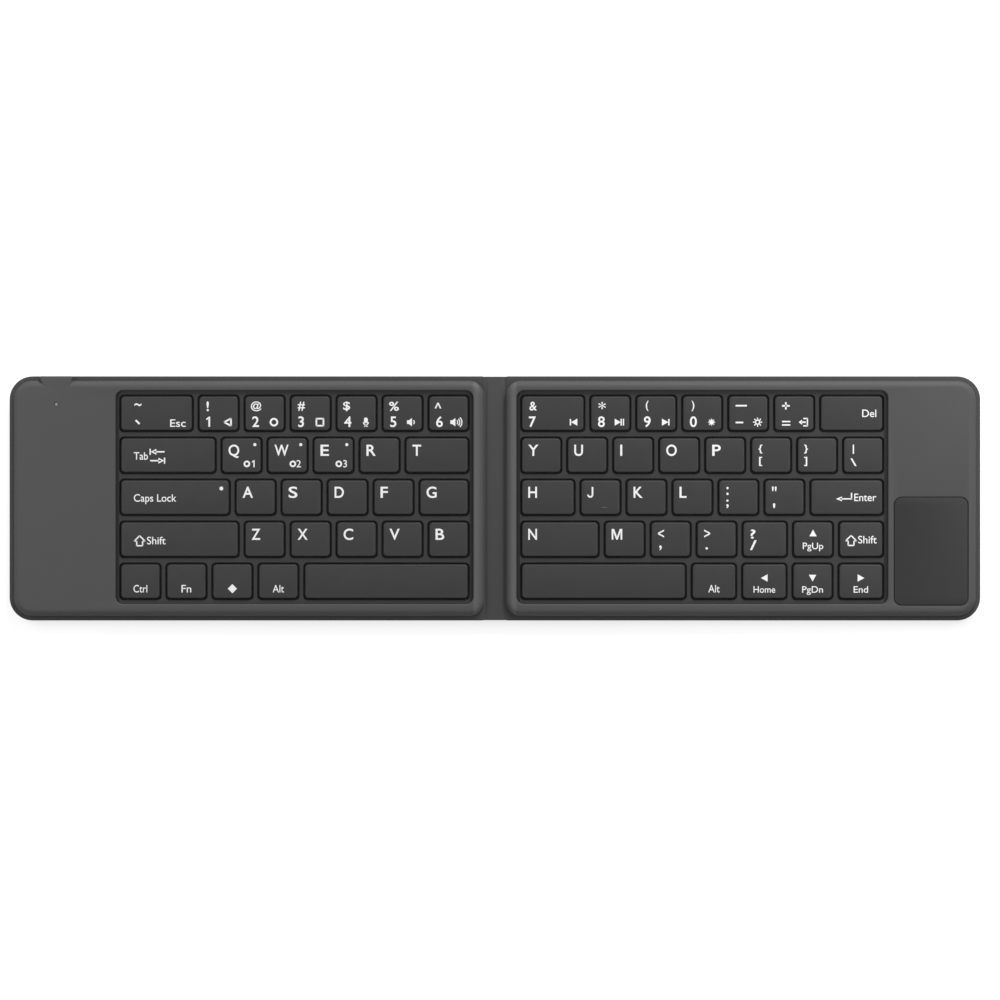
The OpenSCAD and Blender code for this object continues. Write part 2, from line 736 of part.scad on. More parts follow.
left_top_cover();
left_key_frame();
left_bottom_cover();
left_key_plate();
left_membrane();
left_scissors();
main_board();
battery();
usb_socket();
charge_light();
left_magnets();
spine();
ribbon_cable();
right_top_cover();
right_key_frame();
right_bottom_cover();
right_key_plate();
right_membrane();
right_scissors();
touchpad();
touchpad_board();
right_magnets();
for (k = KEY_NODES)
    keys(k);
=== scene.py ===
# Folding keyboard, laid open and flat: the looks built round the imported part, in metres.
import bmesh
import bpy
import json
import math
from mathutils import Matrix, Vector

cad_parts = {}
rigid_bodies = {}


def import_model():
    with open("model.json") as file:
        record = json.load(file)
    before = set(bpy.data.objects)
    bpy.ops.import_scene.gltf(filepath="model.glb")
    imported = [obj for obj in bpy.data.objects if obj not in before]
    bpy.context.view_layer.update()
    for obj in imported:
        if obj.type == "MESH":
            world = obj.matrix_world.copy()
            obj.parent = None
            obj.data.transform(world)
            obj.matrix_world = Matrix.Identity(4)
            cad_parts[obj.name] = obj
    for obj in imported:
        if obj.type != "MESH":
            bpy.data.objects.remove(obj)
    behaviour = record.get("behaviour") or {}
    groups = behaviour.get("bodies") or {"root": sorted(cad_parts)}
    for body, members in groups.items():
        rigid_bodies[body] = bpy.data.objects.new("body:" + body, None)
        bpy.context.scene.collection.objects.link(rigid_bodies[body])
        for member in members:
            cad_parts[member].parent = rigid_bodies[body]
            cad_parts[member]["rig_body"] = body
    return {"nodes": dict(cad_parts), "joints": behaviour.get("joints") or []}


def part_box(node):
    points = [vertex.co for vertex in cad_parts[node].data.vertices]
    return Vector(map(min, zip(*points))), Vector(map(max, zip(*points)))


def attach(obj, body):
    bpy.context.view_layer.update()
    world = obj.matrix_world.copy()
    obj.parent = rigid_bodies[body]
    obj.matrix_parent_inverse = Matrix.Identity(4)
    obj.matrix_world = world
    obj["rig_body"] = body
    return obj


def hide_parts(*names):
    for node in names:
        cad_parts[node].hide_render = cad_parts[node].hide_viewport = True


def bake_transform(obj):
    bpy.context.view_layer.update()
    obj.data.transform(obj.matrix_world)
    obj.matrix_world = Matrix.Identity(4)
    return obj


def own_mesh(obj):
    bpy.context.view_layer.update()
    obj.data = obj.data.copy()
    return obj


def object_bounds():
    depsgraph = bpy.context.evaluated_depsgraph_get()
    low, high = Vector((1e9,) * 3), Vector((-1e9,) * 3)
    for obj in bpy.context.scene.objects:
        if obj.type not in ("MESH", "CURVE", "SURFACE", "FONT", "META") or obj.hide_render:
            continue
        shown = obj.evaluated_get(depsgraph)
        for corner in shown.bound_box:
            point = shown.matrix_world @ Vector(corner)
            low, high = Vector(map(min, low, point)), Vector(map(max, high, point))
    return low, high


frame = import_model()
cadLow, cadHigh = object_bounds()
mm = 0.001
plasticIor = 1.5
scene = bpy.context.scene
print("frame loaded:", len(frame["nodes"]), "nodes")


# sRGB hex to the linear colour that Blender's sockets take
def colour(hexValue):
    parts = [int(hexValue[i:i + 2], 16) / 255 for i in (1, 3, 5)]
    return tuple([p / 12.92 if p <= 0.04045 else ((p + 0.055) / 1.055) ** 2.4 for p in parts] + [1.0])


# Adds one shader node, sets its properties and sockets, and links sockets to other nodes' outputs
def addNode(tree, kind, settings=None, inputs=None, links=None):
    node = tree.nodes.new("ShaderNode" + kind)
    for key, value in (settings or {}).items():
        setattr(node, key, value)
    for key, value in (inputs or {}).items():
        node.inputs[key].default_value = value
    for key, source in (links or {}).items():
        tree.links.new(source, node.inputs[key])
    return node

# Node tree of a material or a world, emptied
def emptyTree(block):
    block.use_nodes = True
    block.node_tree.nodes.clear()
    return block.node_tree


# Opaque surface: two tones mixed by a mottle, a grain (size, strength, depth) and a roughness with its spread, with
# sizes in mm. An optional band mixes in a further tone across the keyboard as painted light and shade: outer and
# inner say how far from the middle of the keyboard it starts and is full, in mm.
def surface(name, darker, lighter, mottleSize, grain, rough, specular=0.5, metallic=0.0, paintedBand=None,
            grainKind="TexNoise"):
    material = bpy.data.materials.new(name)
    tree = emptyTree(material)
    grainSize, strength, depth = grain
    roughness, spread = rough
    here = addNode(tree, "TexCoord").outputs["Object"]
    mottle = addNode(tree, "TexNoise", inputs={
        "Scale": 1 / (mottleSize * mm), "Detail": 3.0, "Roughness": 0.6}, links={"Vector": here}).outputs["Fac"]
    skin = addNode(tree, "Mix", {"data_type": "RGBA"}, {
        "A": colour(darker), "B": colour(lighter)}, {"Factor": mottle}).outputs["Result"]
    # painted light and shade: a tone mixed in by distance across from the middle of the keyboard
    if paintedBand:
        sides = addNode(tree, "SeparateXYZ", links={"Vector": here})
        across = addNode(tree, "Math", {"operation": "ABSOLUTE"}, links={0: sides.outputs["X"]})
        paintedMask = [addNode(tree, "MapRange", {"interpolation_type": "SMOOTHSTEP"}, {
            "From Min": start * mm, "From Max": full * mm}, {"Value": across.outputs[0]}).outputs["Result"]
            for start, full in (paintedBand["outer"], paintedBand["inner"])]
        both = addNode(tree, "Math", {"operation": "MULTIPLY"}, links={0: paintedMask[0], 1: paintedMask[1]})
        skin = addNode(tree, "Mix", {"data_type": "RGBA"}, {"B": colour(paintedBand["tone"])}, {
            "Factor": both.outputs[0], "A": skin}).outputs["Result"]
    relief = addNode(tree, grainKind, inputs={"Scale": 1 / (grainSize * mm)}, links={"Vector": here})
    height = relief.outputs["Distance" if grainKind == "TexVoronoi" else "Fac"]
    bump = addNode(tree, "Bump", inputs={"Strength": strength, "Distance": depth * mm}, links={"Height": height})
    gloss = addNode(tree, "MapRange", inputs={
        "From Min": 0.3, "From Max": 0.7, "To Min": roughness - spread, "To Max": roughness + spread},
        links={"Value": mottle})
    shader = addNode(tree, "BsdfPrincipled", inputs={"Metallic": metallic, "Specular IOR Level": specular},
        links={"Base Color": skin, "Roughness": gloss.outputs["Result"], "Normal": bump.outputs["Normal"]})
    if not metallic:  # a metal keeps the default
        shader.inputs["IOR"].default_value = plasticIor
    addNode(tree, "OutputMaterial", links={"Surface": shader.outputs["BSDF"]})
    return material


# soft-touch polyurethane lacquer over moulded ABS: very matte, a fine pebble grain, faint cloudiness
pebble = {"grainKind": "TexVoronoi", "specular": 0.3}
# the lighter band along the ridges either side of the spine is a painted highlight
softTouch = surface("softTouchPolyurethane", "#474747", "#4c4c4c", 9.0, (0.32, 0.25, 0.05), (0.62, 0.04),
    **pebble, paintedBand={"tone": "#5b5b5b", "outer": (7.6, 6.4), "inner": (4.4, 6.2)})
# the same lacquer on the bottom cover, darker than on the deck
softTouchBase = surface("softTouchPolyurethaneBase", "#383838", "#3d3d3d", 9.0, (0.32, 0.25, 0.05), (0.62, 0.04),
    **pebble)
# thermoplastic polyurethane skin over the spine: a little darker, and slightly glossier where it flexes
flexSkin = surface("flexiblePolyurethaneSkin", "#3d3d3d", "#424242", 7.0, (0.3, 0.3, 0.05), (0.56, 0.05), **pebble)
# moulded ABS with a fine spark-eroded texture: matte, with small glints
keyAbs = surface("sparkTexturedAbs", "#2f2f2f", "#343434", 5.0, (0.12, 0.3, 0.012), (0.5, 0.05), specular=0.3)
# the raised mark on a cap, polished by the fingertip that looks for it, and lighter than the cap: a painted
# highlight
polishedAbsWithPaintedHighlight = surface("fingerPolishedAbs", "#383838", "#3d3d3d", 1.0, (0.12, 0.1, 0.006), (0.42, 0.04),
    specular=0.3)
# the lattice between the keys in its own tone, and darker along its margins by the spine and at the outer end:
# painted shade
frameAbs = {half: surface(
    "mouldedAbsLattice_" + half, "#0e0e0e", "#131313", 5.0, (0.15, 0.25, 0.012), (0.55, 0.05), specular=0.3,
    paintedBand={"tone": "#2f2f2f", "outer": outer, "inner": (8.1, 8.3)})
    for half, outer in (("left", (123.1, 122.9)), ("right", (127.4, 127.2)))}
# satin polycarbonate touch surface: smooth to a fingertip, so almost no grain
padPolycarbonate = surface("satinPolycarbonate", "#272727", "#292929", 14.0, (0.08, 0.12, 0.006), (0.42, 0.03),
    specular=0.28)
# white pad-printed ink: flat, opaque and faintly uneven at its film edge
printedInk = surface("padPrintedInk", "#f2f2f2", "#ffffff", 1.5, (0.2, 0.05, 0.004), (0.55, 0.04))
# drawn stainless steel, satin: soft reflections with no visible grain
stainlessShell = surface("drawnStainlessSteel", "#a4a6a8", "#b4b6b8", 2.0, (0.1, 0.1, 0.004), (0.3, 0.06),
    metallic=1.0)
# zinc-plated steel sheet: greyer and cloudier
zincSteel = surface("zincPlatedSteel", "#8c8f92", "#a2a5a8", 6.0, (0.3, 0.1, 0.006), (0.4, 0.08), metallic=1.0)
# gold flash over nickel on the contacts: a warm glint inside the mouth
goldContacts = surface("goldFlashedContacts", "#c89a4a", "#dcb264", 1.0, (0.1, 0.05, 0.002), (0.3, 0.05),
    metallic=1.0)
# black filled liquid-crystal polymer of the contact tongue: dull and even
tonguePolymer = surface("filledPolymerTongue", "#171717", "#1e1e1e", 1.5, (0.1, 0.1, 0.004), (0.5, 0.05))
# black silicone domes on black printed polyester film, darker than all round them: the black is painted shade for
# the deep gaps round the caps
domeFilmPaintedShade = surface("blackPolyesterFilm", "#0c0c0c", "#121212", 4.0, (0.4, 0.1, 0.01), (0.5, 0.05))
# black moulded nylon of the scissors, with a dull sheen
blackNylon = surface("blackMouldedNylon", "#101010", "#171717", 3.0, (0.2, 0.1, 0.01), (0.5, 0.05))
# green solder mask over glass-fibre board: glossy, with the weave just showing
solderMask = surface("greenSolderMask", "#174a2f", "#1f5a3a", 3.0, (0.5, 0.15, 0.01), (0.32, 0.06))
# laminated aluminium pouch foil: bright and slightly crumpled
pouchFoil = surface("laminatedPouchFoil", "#9a9da1", "#b2b5b9", 4.0, (0.8, 0.2, 0.03), (0.35, 0.08), metallic=1.0)
# frosted polycarbonate light pipe, unlit: a pale dot
lightPipe = surface("frostedPolycarbonate", "#7e7e7e", "#8c8c8c", 0.5, (0.1, 0.1, 0.004), (0.4, 0.05))
# nickel plating on the magnets: bright and faintly yellow
nickelPlate = surface("nickelPlate", "#b4b2ac", "#c6c4be", 2.0, (0.3, 0.05, 0.004), (0.25, 0.05), metallic=1.0)
# amber polyimide film: orange-brown and satin
polyimideFilm = surface("amberPolyimideFilm", "#96591d", "#b06c28", 3.0, (0.3, 0.05, 0.004), (0.3, 0.05))
print("materials made:", len(bpy.data.materials))

smoothAngle, weldDistance, tiny, flat = 35, 1e-6, 1e-7, 1e-8  # degrees, then metres
sideNames = {-1: "left", 1: "right"}


def addObject(name, data):
    added = bpy.data.objects.new(name, data)
    scene.collection.objects.link(added)
    return added


# Turns a bmesh into a mesh and frees it
def meshFrom(name, bm):
    mesh = bpy.data.meshes.new(name)
    bm.to_mesh(mesh)
    bm.free()
    return mesh


# Smooth except over sharp edges
def shadeMesh(mesh, sharpAngle=smoothAngle):
    mesh.shade_smooth()
    mesh.set_sharp_from_angle(angle=math.radians(sharpAngle))


# Turns a finished bmesh into a piece that rides on a body
def makePiece(name, bm, material, body, sharpAngle=smoothAngle):
    if material is printedInk:  # ink is flat sheets, which only have to face up
        bm.normal_update()
        bmesh.ops.reverse_faces(bm, faces=[f for f in bm.faces if f.normal.z < 0])
    else:
        bmesh.ops.recalc_face_normals(bm, faces=bm.faces)
    mesh = meshFrom(name, bm)
    shadeMesh(mesh, sharpAngle)
    mesh.materials.append(material)
    piece = addObject(name, mesh)
    if body:
        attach(piece, body)
    return piece


# Rounds edges or, in a flat loop, its corners
def roundOff(bm, geom, offset, segments, affect="EDGES"):
    bmesh.ops.bevel(bm, geom=geom, offset=offset, offset_type="OFFSET", segments=segments, profile=0.5,
                    affect=affect, material=-1)


# Steps of a quarter circle: one number rises from 0 to 1 as the other falls from 1 to 0
def quarterArc(steps):
    angles = [math.radians(90 * i / steps) for i in range(steps + 1)]
    return [(1 - math.cos(a), 1 - math.sin(a)) for a in angles]


# Scales vertices about the origin and then moves them
def place(bm, verts, scale=(1, 1, 1), move=(0, 0, 0)):
    bmesh.ops.scale(bm, vec=scale, verts=verts)
    bmesh.ops.translate(bm, vec=move, verts=verts)


# Both halves are drawn on the +X side, and the left one is mirrored
def toSide(bm, side):
    if side < 0:
        place(bm, bm.verts, (-1, 1, 1))


# A flat closed loop of edges: a rectangle with rounded corners, which may have another radius at x1
def ring(bm, x0, x1, y0, y1, z, radius, steps=12, radiusAtX1=None):
    before = set(bm.faces)
    corners = [bm.verts.new(p) for p in ((x0, y0, z), (x0, y1, z), (x1, y1, z), (x1, y0, z))]
    bm.faces.new(corners)
    roundOff(bm, corners[:2], radius, steps, "VERTICES")
    roundOff(bm, corners[2:], radius if radiusAtX1 is None else radiusAtX1, steps, "VERTICES")
    face = next(f for f in bm.faces if f not in before)
    edges = list(face.edges)
    bmesh.ops.delete(bm, geom=[face], context="FACES_ONLY")
    return edges


# Skins a stack of loops, each to the next; two loops in one plane are filled between instead
def skinLoops(bm, loops):
    for a, b in zip(loops, loops[1:]):
        axes = zip(*[v.co for e in a + b for v in e.verts])
        if min(max(axis) - min(axis) for axis in axes) < flat:
            bmesh.ops.triangle_fill(bm, use_beauty=True, edges=a + b)
        else:
            bmesh.ops.bridge_loops(bm, edges=a + b)


# Fills one or more loops that lie in one plane, the inner ones as holes
def fillLoops(bm, loops, up=1):
    edges = [e for loop in loops for e in loop]
    bmesh.ops.triangle_fill(bm, use_beauty=True, edges=edges, normal=(0, 0, up))


# Skins a stack of loops from the bottom up and closes both ends
def skinSolid(bm, loops):
    skinLoops(bm, loops)
    fillLoops(bm, loops[:1], -1)
    fillLoops(bm, loops[-1:])


case = {  # millimetres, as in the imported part
    "cornerRadius": 7.6, "lipWidth": 1.5, "lipRound": 0.28, "lipSteps": 3, "lipCorner": 0.75, "lipReach": 0.03,
    "wallThickness": 1.2, "floorThickness": 0.8, "deckThickness": 1.2, "shoulderWidth": 2.2, "shoulderHeight": 2.0,
    "shoulderSteps": 10, "ridgeWidth": 2.0, "ridgeRadius": 5.0, "baseEdge": 1.2, "baseSteps": 6, "wellMargin": 0.6,
    "wellRadius": 2.5, "frameReach": 2.0, "rimRadius": 0.4, "rimSteps": 5, "lightRadius": 0.72, "lightSteps": 8,
    "holeRound": 0.999}  # just under a full round, so that no side shrinks to nothing
halfLen, halfDepth, deckZ = cadHigh.x, cadHigh.y, cadHigh.z
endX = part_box("right_bottom_cover")[0].x
lipZ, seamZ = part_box("spine")[0].z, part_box("spine")[1].z
ceilingZ = deckZ - case["deckThickness"] * mm
lip, wall, ridgeRadius = case["lipWidth"] * mm, case["wallThickness"] * mm, case["ridgeRadius"] * mm
padLow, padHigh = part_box("touchpad")
lightLow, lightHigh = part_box("charge_light")


# Outline of a half on the +X side, drawn in by inset all round and by atSpine at the spine end
def halfLoop(bm, inset, atSpine, spineRadius, z):
    return ring(bm, endX + atSpine, halfLen - inset, inset - halfDepth, halfDepth - inset, z, spineRadius,
                radiusAtX1=case["cornerRadius"] * mm - inset)


# Inner face of a half's wall
def wallLoop(bm, z):
    return halfLoop(bm, lip + wall, wall, ridgeRadius - wall, z)


# Outline round the key field, grown past its cells
def fieldLoop(bm, side, grow, z):
    low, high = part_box(sideNames[side] + "_key_frame")
    x0, x1 = sorted((side * low.x, side * high.x))
    reach = case["frameReach"] * mm - grow
    return ring(bm, x0 + reach, x1 - reach, low.y + reach, high.y - reach, z,
                (case["wellRadius"] - case["wellMargin"]) * mm + grow)


# Raised deck of one half: shoulder, flat deck, rounded rim of the well and the inner wall
def makeDeck(side, cutouts):
    bm = bmesh.new()
    margin, rimRadius = case["wellMargin"] * mm, case["rimRadius"] * mm
    shoulder = [halfLoop(bm, lip, 0, ridgeRadius, seamZ)]
    for rise, fall in quarterArc(case["shoulderSteps"]):
        ridge = case["ridgeWidth"] * mm * rise
        shoulder.append(halfLoop(bm, lip + case["shoulderWidth"] * mm * rise, ridge, ridgeRadius - ridge,
                                 deckZ - case["shoulderHeight"] * mm * fall))
    rim = [fieldLoop(bm, side, margin + rimRadius * fall, deckZ - rimRadius * rise)
           for rise, fall in quarterArc(case["rimSteps"])]
    rim.append(fieldLoop(bm, side, margin, ceilingZ))
    innerTop, innerFoot = wallLoop(bm, ceilingZ), wallLoop(bm, seamZ)
    tops, bottoms = cutouts(bm)
    skinLoops(bm, shoulder)
    skinLoops(bm, rim)
    skinLoops(bm, [innerTop, innerFoot, shoulder[0]])
    fillLoops(bm, [shoulder[-1], rim[0]] + tops)
    fillLoops(bm, [innerTop, rim[-1]] + bottoms, -1)
    toSide(bm, side)
    half = sideNames[side]
    piece = makePiece(half + "Deck", bm, softTouch, half + "_half")
    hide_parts(half + "_top_cover")
    return piece


# Hole for the light pipe, drawn on the +X side too
def lightHole(bm):
    (x, y), r = ((lightLow + lightHigh) / 2).xy, case["lightRadius"] * mm
    loops = [ring(bm, -x - r, r - x, y - r, y + r, z, r * case["holeRound"], case["lightSteps"])
             for z in (deckZ, ceilingZ)]
    skinLoops(bm, loops)
    return [loops[0]], [loops[1]]


pad = {  # millimetres
    "radius": 2.4, "cornerSteps": 14, "bevel": 0.12, "bevelSteps": 4, "groove": 0.25, "rim": 0.12, "rimSteps": 3,
    "ledge": 1.6, "leastRadius": 0.8}


# Outline of the touchpad, grown all round
def padLoop(bm, grow, z, steps=12):
    radius = max(pad["radius"] * mm + grow, pad["leastRadius"] * mm)
    return ring(bm, padLow.x - grow, padHigh.x + grow, padLow.y - grow, padHigh.y + grow, z, radius, steps)


# Recess for the touchpad: rounded rim, groove wall, ledge and the opening over the sensor board
def padRecess(bm):
    groove, rim, ledge = pad["groove"] * mm, pad["rim"] * mm, pad["ledge"] * mm
    loops = [padLoop(bm, groove + rim * fall, deckZ - rim * rise) for rise, fall in quarterArc(pad["rimSteps"])]
    loops += [padLoop(bm, groove, padLow.z), padLoop(bm, -ledge, padLow.z), padLoop(bm, -ledge, ceilingZ)]
    skinLoops(bm, loops)
    return [loops[0]], [loops[-1]]


# Plate of the touchpad, with a small rounded bevel
def makePad():
    bm = bmesh.new()
    bevel = pad["bevel"] * mm
    loops = [padLoop(bm, 0, padLow.z, pad["cornerSteps"])]
    loops += [padLoop(bm, -bevel * rise, padHigh.z - bevel * fall, pad["cornerSteps"])
              for rise, fall in quarterArc(pad["bevelSteps"])]
    skinSolid(bm, loops)
    piece = makePiece("touchSurface", bm, padPolycarbonate, "right_half")
    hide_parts("touchpad")


leftDeck = makeDeck(-1, lightHole)
makeDeck(1, padRecess)
print("decks made")


# Bottom half of the case: rounded underside, wall, seam flange with soft edges, floor inside
def makeBase(side):
    bm = bmesh.new()
    edge, soft = case["baseEdge"] * mm, case["lipRound"] * mm
    loops = [halfLoop(bm, lip + edge * fall, 0, ridgeRadius, edge * rise)
             for rise, fall in quarterArc(case["baseSteps"])]
    loops.append(halfLoop(bm, lip, 0, ridgeRadius, lipZ))
    arc = quarterArc(case["lipSteps"])
    flange = [(rise, lipZ + soft * fall) for rise, fall in arc[::-1]]
    flange += [(rise, seamZ - soft * fall) for rise, fall in arc]
    loops += [halfLoop(bm, soft * rise, -case["lipReach"] * mm, case["lipCorner"] * mm, z) for rise, z in flange]
    loops += [wallLoop(bm, seamZ), wallLoop(bm, case["floorThickness"] * mm)]
    skinSolid(bm, loops)
    toSide(bm, side)
    half = sideNames[side]
    piece = makePiece(half + "Base", bm, softTouchBase, half + "_half")
    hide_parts(half + "_bottom_cover")
    return piece


leftBase = makeBase(-1)
makeBase(1)
print("bases made")


spine = {  # millimetres; underDip is how deep the crease is underneath, as a share of its depth on top
    "creaseWidth": 1.1, "creaseDepth": 0.22, "creaseShift": 0.3, "underDip": 0.5, "edgeRound": 0.25,
    "edgeSteps": 4, "sideGap": 0.1, "tuck": 0.25, "slices": 26, "bendWidth": 1.1}
ribbon = {  # millimetres; sliceReach and thinning are shares
    "thickness": 0.2, "riser": 1.7, "bendRadius": 0.3, "bendSteps": 4, "slices": 14, "sliceReach": 1.1,
    "thinning": 0.98}
foldX = abs(frame["joints"][0]["pos_m"][0])


# Cuts a bmesh across at even steps up to a length
def cutAcross(bm, length, count):
    for i in range(1, count):
        bmesh.ops.bisect_plane(bm, geom=bm.verts[:] + bm.edges[:] + bm.faces[:], dist=tiny,
                               plane_co=(length * i / count, 0, 0), plane_no=(1, 0, 0))


# Bakes a spine piece's placement into its mesh; the piece is not bent
def bendAtCrease(piece):
    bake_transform(piece)


# One half of the flexible skin, from the middle of the spine to just inside the wall of its half
def makeSkin(side):
    bm = bmesh.new()
    length = endX + spine["tuck"] * mm
    bmesh.ops.create_cube(bm, size=1.0)
    place(bm, bm.verts, (length, 2 * (halfDepth - spine["sideGap"] * mm), seamZ - lipZ),
          (length / 2, 0, (seamZ + lipZ) / 2))
    sides = [e for e in bm.edges if abs(e.verts[0].co.x - e.verts[1].co.x) > length / 2]
    roundOff(bm, sides, spine["edgeRound"] * mm, spine["edgeSteps"])
    cutAcross(bm, length, spine["slices"])
    crease, middle = foldX + spine["creaseShift"] * mm, (lipZ + seamZ) / 2
    for v in bm.verts:  # the crease is a shallow valley on both faces
        near = max(0.0, 1 - abs(v.co.x - crease) / (spine["creaseWidth"] * mm))
        dip = spine["creaseDepth"] * mm * near * near * (3 - 2 * near)
        v.co.z += -dip if v.co.z > middle else dip * spine["underDip"]
    toSide(bm, side)
    piece = makePiece(sideNames[side] + "Skin", bm, flexSkin, None)
    bendAtCrease(piece)
    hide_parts("spine")


# One half of the ribbon cable: flat through the spine, down the riser and along its tail
def makeCable(side):
    low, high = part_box("ribbon_cable")
    bm = bmesh.new()
    thick, riser = ribbon["thickness"] * mm, endX + ribbon["riser"] * mm
    route = ((0, high.z), (riser, high.z), (riser, low.z + thick), (high.x, low.z + thick))
    verts = [bm.verts.new((x, low.y, z - thick / 2)) for x, z in route]
    for ends in zip(verts, verts[1:]):
        bm.edges.new(ends)
    roundOff(bm, verts[1:3], ribbon["bendRadius"] * mm, ribbon["bendSteps"], "VERTICES")
    cutAcross(bm, endX * ribbon["sliceReach"], ribbon["slices"])
    made = bmesh.ops.extrude_edge_only(bm, edges=bm.edges[:])
    moved = [g for g in made["geom"] if isinstance(g, bmesh.types.BMVert)]
    place(bm, moved, move=(0, high.y - low.y, 0))
    bmesh.ops.recalc_face_normals(bm, faces=bm.faces)
    bmesh.ops.solidify(bm, geom=bm.faces[:], thickness=thick * ribbon["thinning"])
    place(bm, bm.verts, move=(0, 0, high.z - max(v.co.z for v in bm.verts)))
    toSide(bm, side)
    piece = makePiece(sideNames[side] + "Ribbon", bm, polyimideFilm, None)
    bendAtCrease(piece)
    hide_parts("ribbon_cable")


for side in sideNames:
    makeSkin(side)
    makeCable(side)
print("spine made")


keycap = {  # millimetres; cornerShrink is the radius that a corner loses for each mm inwards
    "cornerRadius": 1.2, "cornerSteps": 7, "cornerShrink": 0.6, "bevel": 0.3, "bevelSteps": 4, "taper": 0.12,
    "wall": 0.9, "topThickness": 0.8, "sharpAngle": 50}


# Boxes of the caps in a key node, from the rear row forward and from left to right
def capBoxes(node):
    bm = bmesh.new()
    bm.from_mesh(frame["nodes"][node].data)
    bmesh.ops.remove_doubles(bm, verts=bm.verts, dist=weldDistance)
    left, boxes = set(bm.verts), []
    while left:
        island, front = set(), [left.pop()]
        while front:
            v = front.pop()
            island.add(v)
            near = {e.other_vert(v) for e in v.link_edges} & left
            left -= near
            front += near
        low = Vector([min(v.co[i] for v in island) for i in range(3)])
        high = Vector([max(v.co[i] for v in island) for i in range(3)])
        boxes.append((low, high))
    bm.free()
    return sorted(boxes, key=lambda b: (-round(b[0].y, 4), b[0].x))


# Keycap: tapered sides, a rounded bevel, a flat top and the hollow underneath
def makeCap(name, node, low, high):
    bm = bmesh.new()
    bevel, radius, wallIn = keycap["bevel"] * mm, keycap["cornerRadius"] * mm, keycap["wall"] * mm

    def capLoop(inset, z, r):
        return ring(bm, low.x + inset, high.x - inset, low.y + inset, high.y - inset, z, r, keycap["cornerSteps"])

    loops = [capLoop(0, low.z, radius)]
    for rise, fall in quarterArc(keycap["bevelSteps"]):
        inset = keycap["taper"] * mm + bevel * rise
        loops.append(capLoop(inset, high.z - bevel * fall, radius - inset * keycap["cornerShrink"]))
    skinLoops(bm, loops)
    fillLoops(bm, loops[-1:])
    inside = [capLoop(wallIn, z, radius / 2) for z in (low.z, high.z - keycap["topThickness"] * mm)]
    skinLoops(bm, loops[:1] + inside)
    fillLoops(bm, inside[1:], -1)
    piece = makePiece(name, bm, keyAbs, node, keycap["sharpAngle"])
    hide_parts(node)


# Legends are made flat in millimetres, x to the right and y up, each about its own anchor; small words get
# thinner strokes
ink = {"lift": 0.015, "weight": 0.014, "smallWeight": 0.004, "smallSize": 2.6, "arcSteps": 16, "discSteps": 20,
       "wordSteps": 6}
fontCurve = bpy.data.curves.new("legendFont", "FONT")
fontObject = addObject("legendFont", fontCurve)


# Adds a word, its left end and baseline at the origin, at the font's own size
def addWord(bm, text, weight):
    fontCurve.body = text
    fontCurve.offset = weight
    fontCurve.resolution_u = ink["wordSteps"]
    bpy.context.view_layer.update()
    mesh = fontObject.evaluated_get(bpy.context.evaluated_depsgraph_get()).to_mesh()
    before = set(bm.verts)
    bm.from_mesh(mesh)
    fontObject.to_mesh_clear()
    return [v for v in bm.verts if v not in before]


probe = bmesh.new()
capitalHeight = max(v.co.y for v in addWord(probe, "H", 0.0))
probe.free()


# Straight bar between two points
def addBar(bm, x0, y0, x1, y1, width):
    along = Vector((x1 - x0, y1 - y0, 0)).normalized() * width / 2
    across = Vector((-along.y, along.x, 0))
    a, b = Vector((x0, y0, 0)), Vector((x1, y1, 0))
    bm.faces.new([bm.verts.new(p) for p in (a - across, b - across, b + across, a + across)])


# Filled shape with straight sides
def addShape(bm, *points):
    bm.faces.new([bm.verts.new((x, y, 0)) for x, y in points])


# Band of a circle from one angle to another, made by spinning a short edge
def addArc(bm, x, y, radius, width, fromAngle=0, toAngle=360):
    turn = Matrix.Rotation(math.radians(fromAngle), 3, "Z")
    centre = Vector((x, y, 0))
    ends = [bm.verts.new(centre + turn @ Vector((r, 0, 0))) for r in (radius - width / 2, radius + width / 2)]
    edge = bm.edges.new(ends)
    full = toAngle - fromAngle >= 360
    bmesh.ops.spin(bm, geom=ends + [edge], cent=centre, axis=(0, 0, 1), use_merge=full,
                   angle=math.radians(toAngle - fromAngle), steps=ink["arcSteps"] * (2 if full else 1))


def addDisc(bm, x, y, radius):
    bmesh.ops.create_circle(bm, cap_ends=True, segments=ink["discSteps"], radius=radius,
                            matrix=Matrix.Translation((x, y, 0)))


def sunRays(start, end, width):
    turns = [(math.cos(math.radians(45 * i)), math.sin(math.radians(45 * i))) for i in range(8)]
    return [(addBar, c * start, s * start, c * end, s * end, width) for c, s in turns]


# Loudspeaker with sound waves
def speaker(waves, shift=0.0):
    body = ((-1.6, -0.6), (-1.0, -0.6), (0.05, -1.35), (0.05, 1.35), (-1.0, 0.6), (-1.6, 0.6))
    return [(addShape, *[(x + shift, y) for x, y in body])] + [
        (addArc, shift - 0.1, 0, 0.9 + 0.68 * i, 0.34, -44, 44) for i in range(waves)]


# Bars from point to point of a line
def outline(width, *points):
    return [(addBar, *a, *b, width) for a, b in zip(points, points[1:])]


# Solid arrowhead that points up, turned by an angle
def arrowHead(degrees):
    turn = Matrix.Rotation(math.radians(degrees), 2)
    return [(addShape, *[turn @ Vector(p) for p in ((-1.2, -1.05), (1.2, -1.05), (0, 1.15))])]


# The figure one, with a flag at its top
def figureOne(height):
    return [(addBar, 0.3 * height, 0, 0.3 * height, height, 0.17 * height),
            (addShape, *[(x * height, y * height) for x, y in ((0.24, 1), (0, 0.8), (0, 0.64), (0.24, 0.8))])]


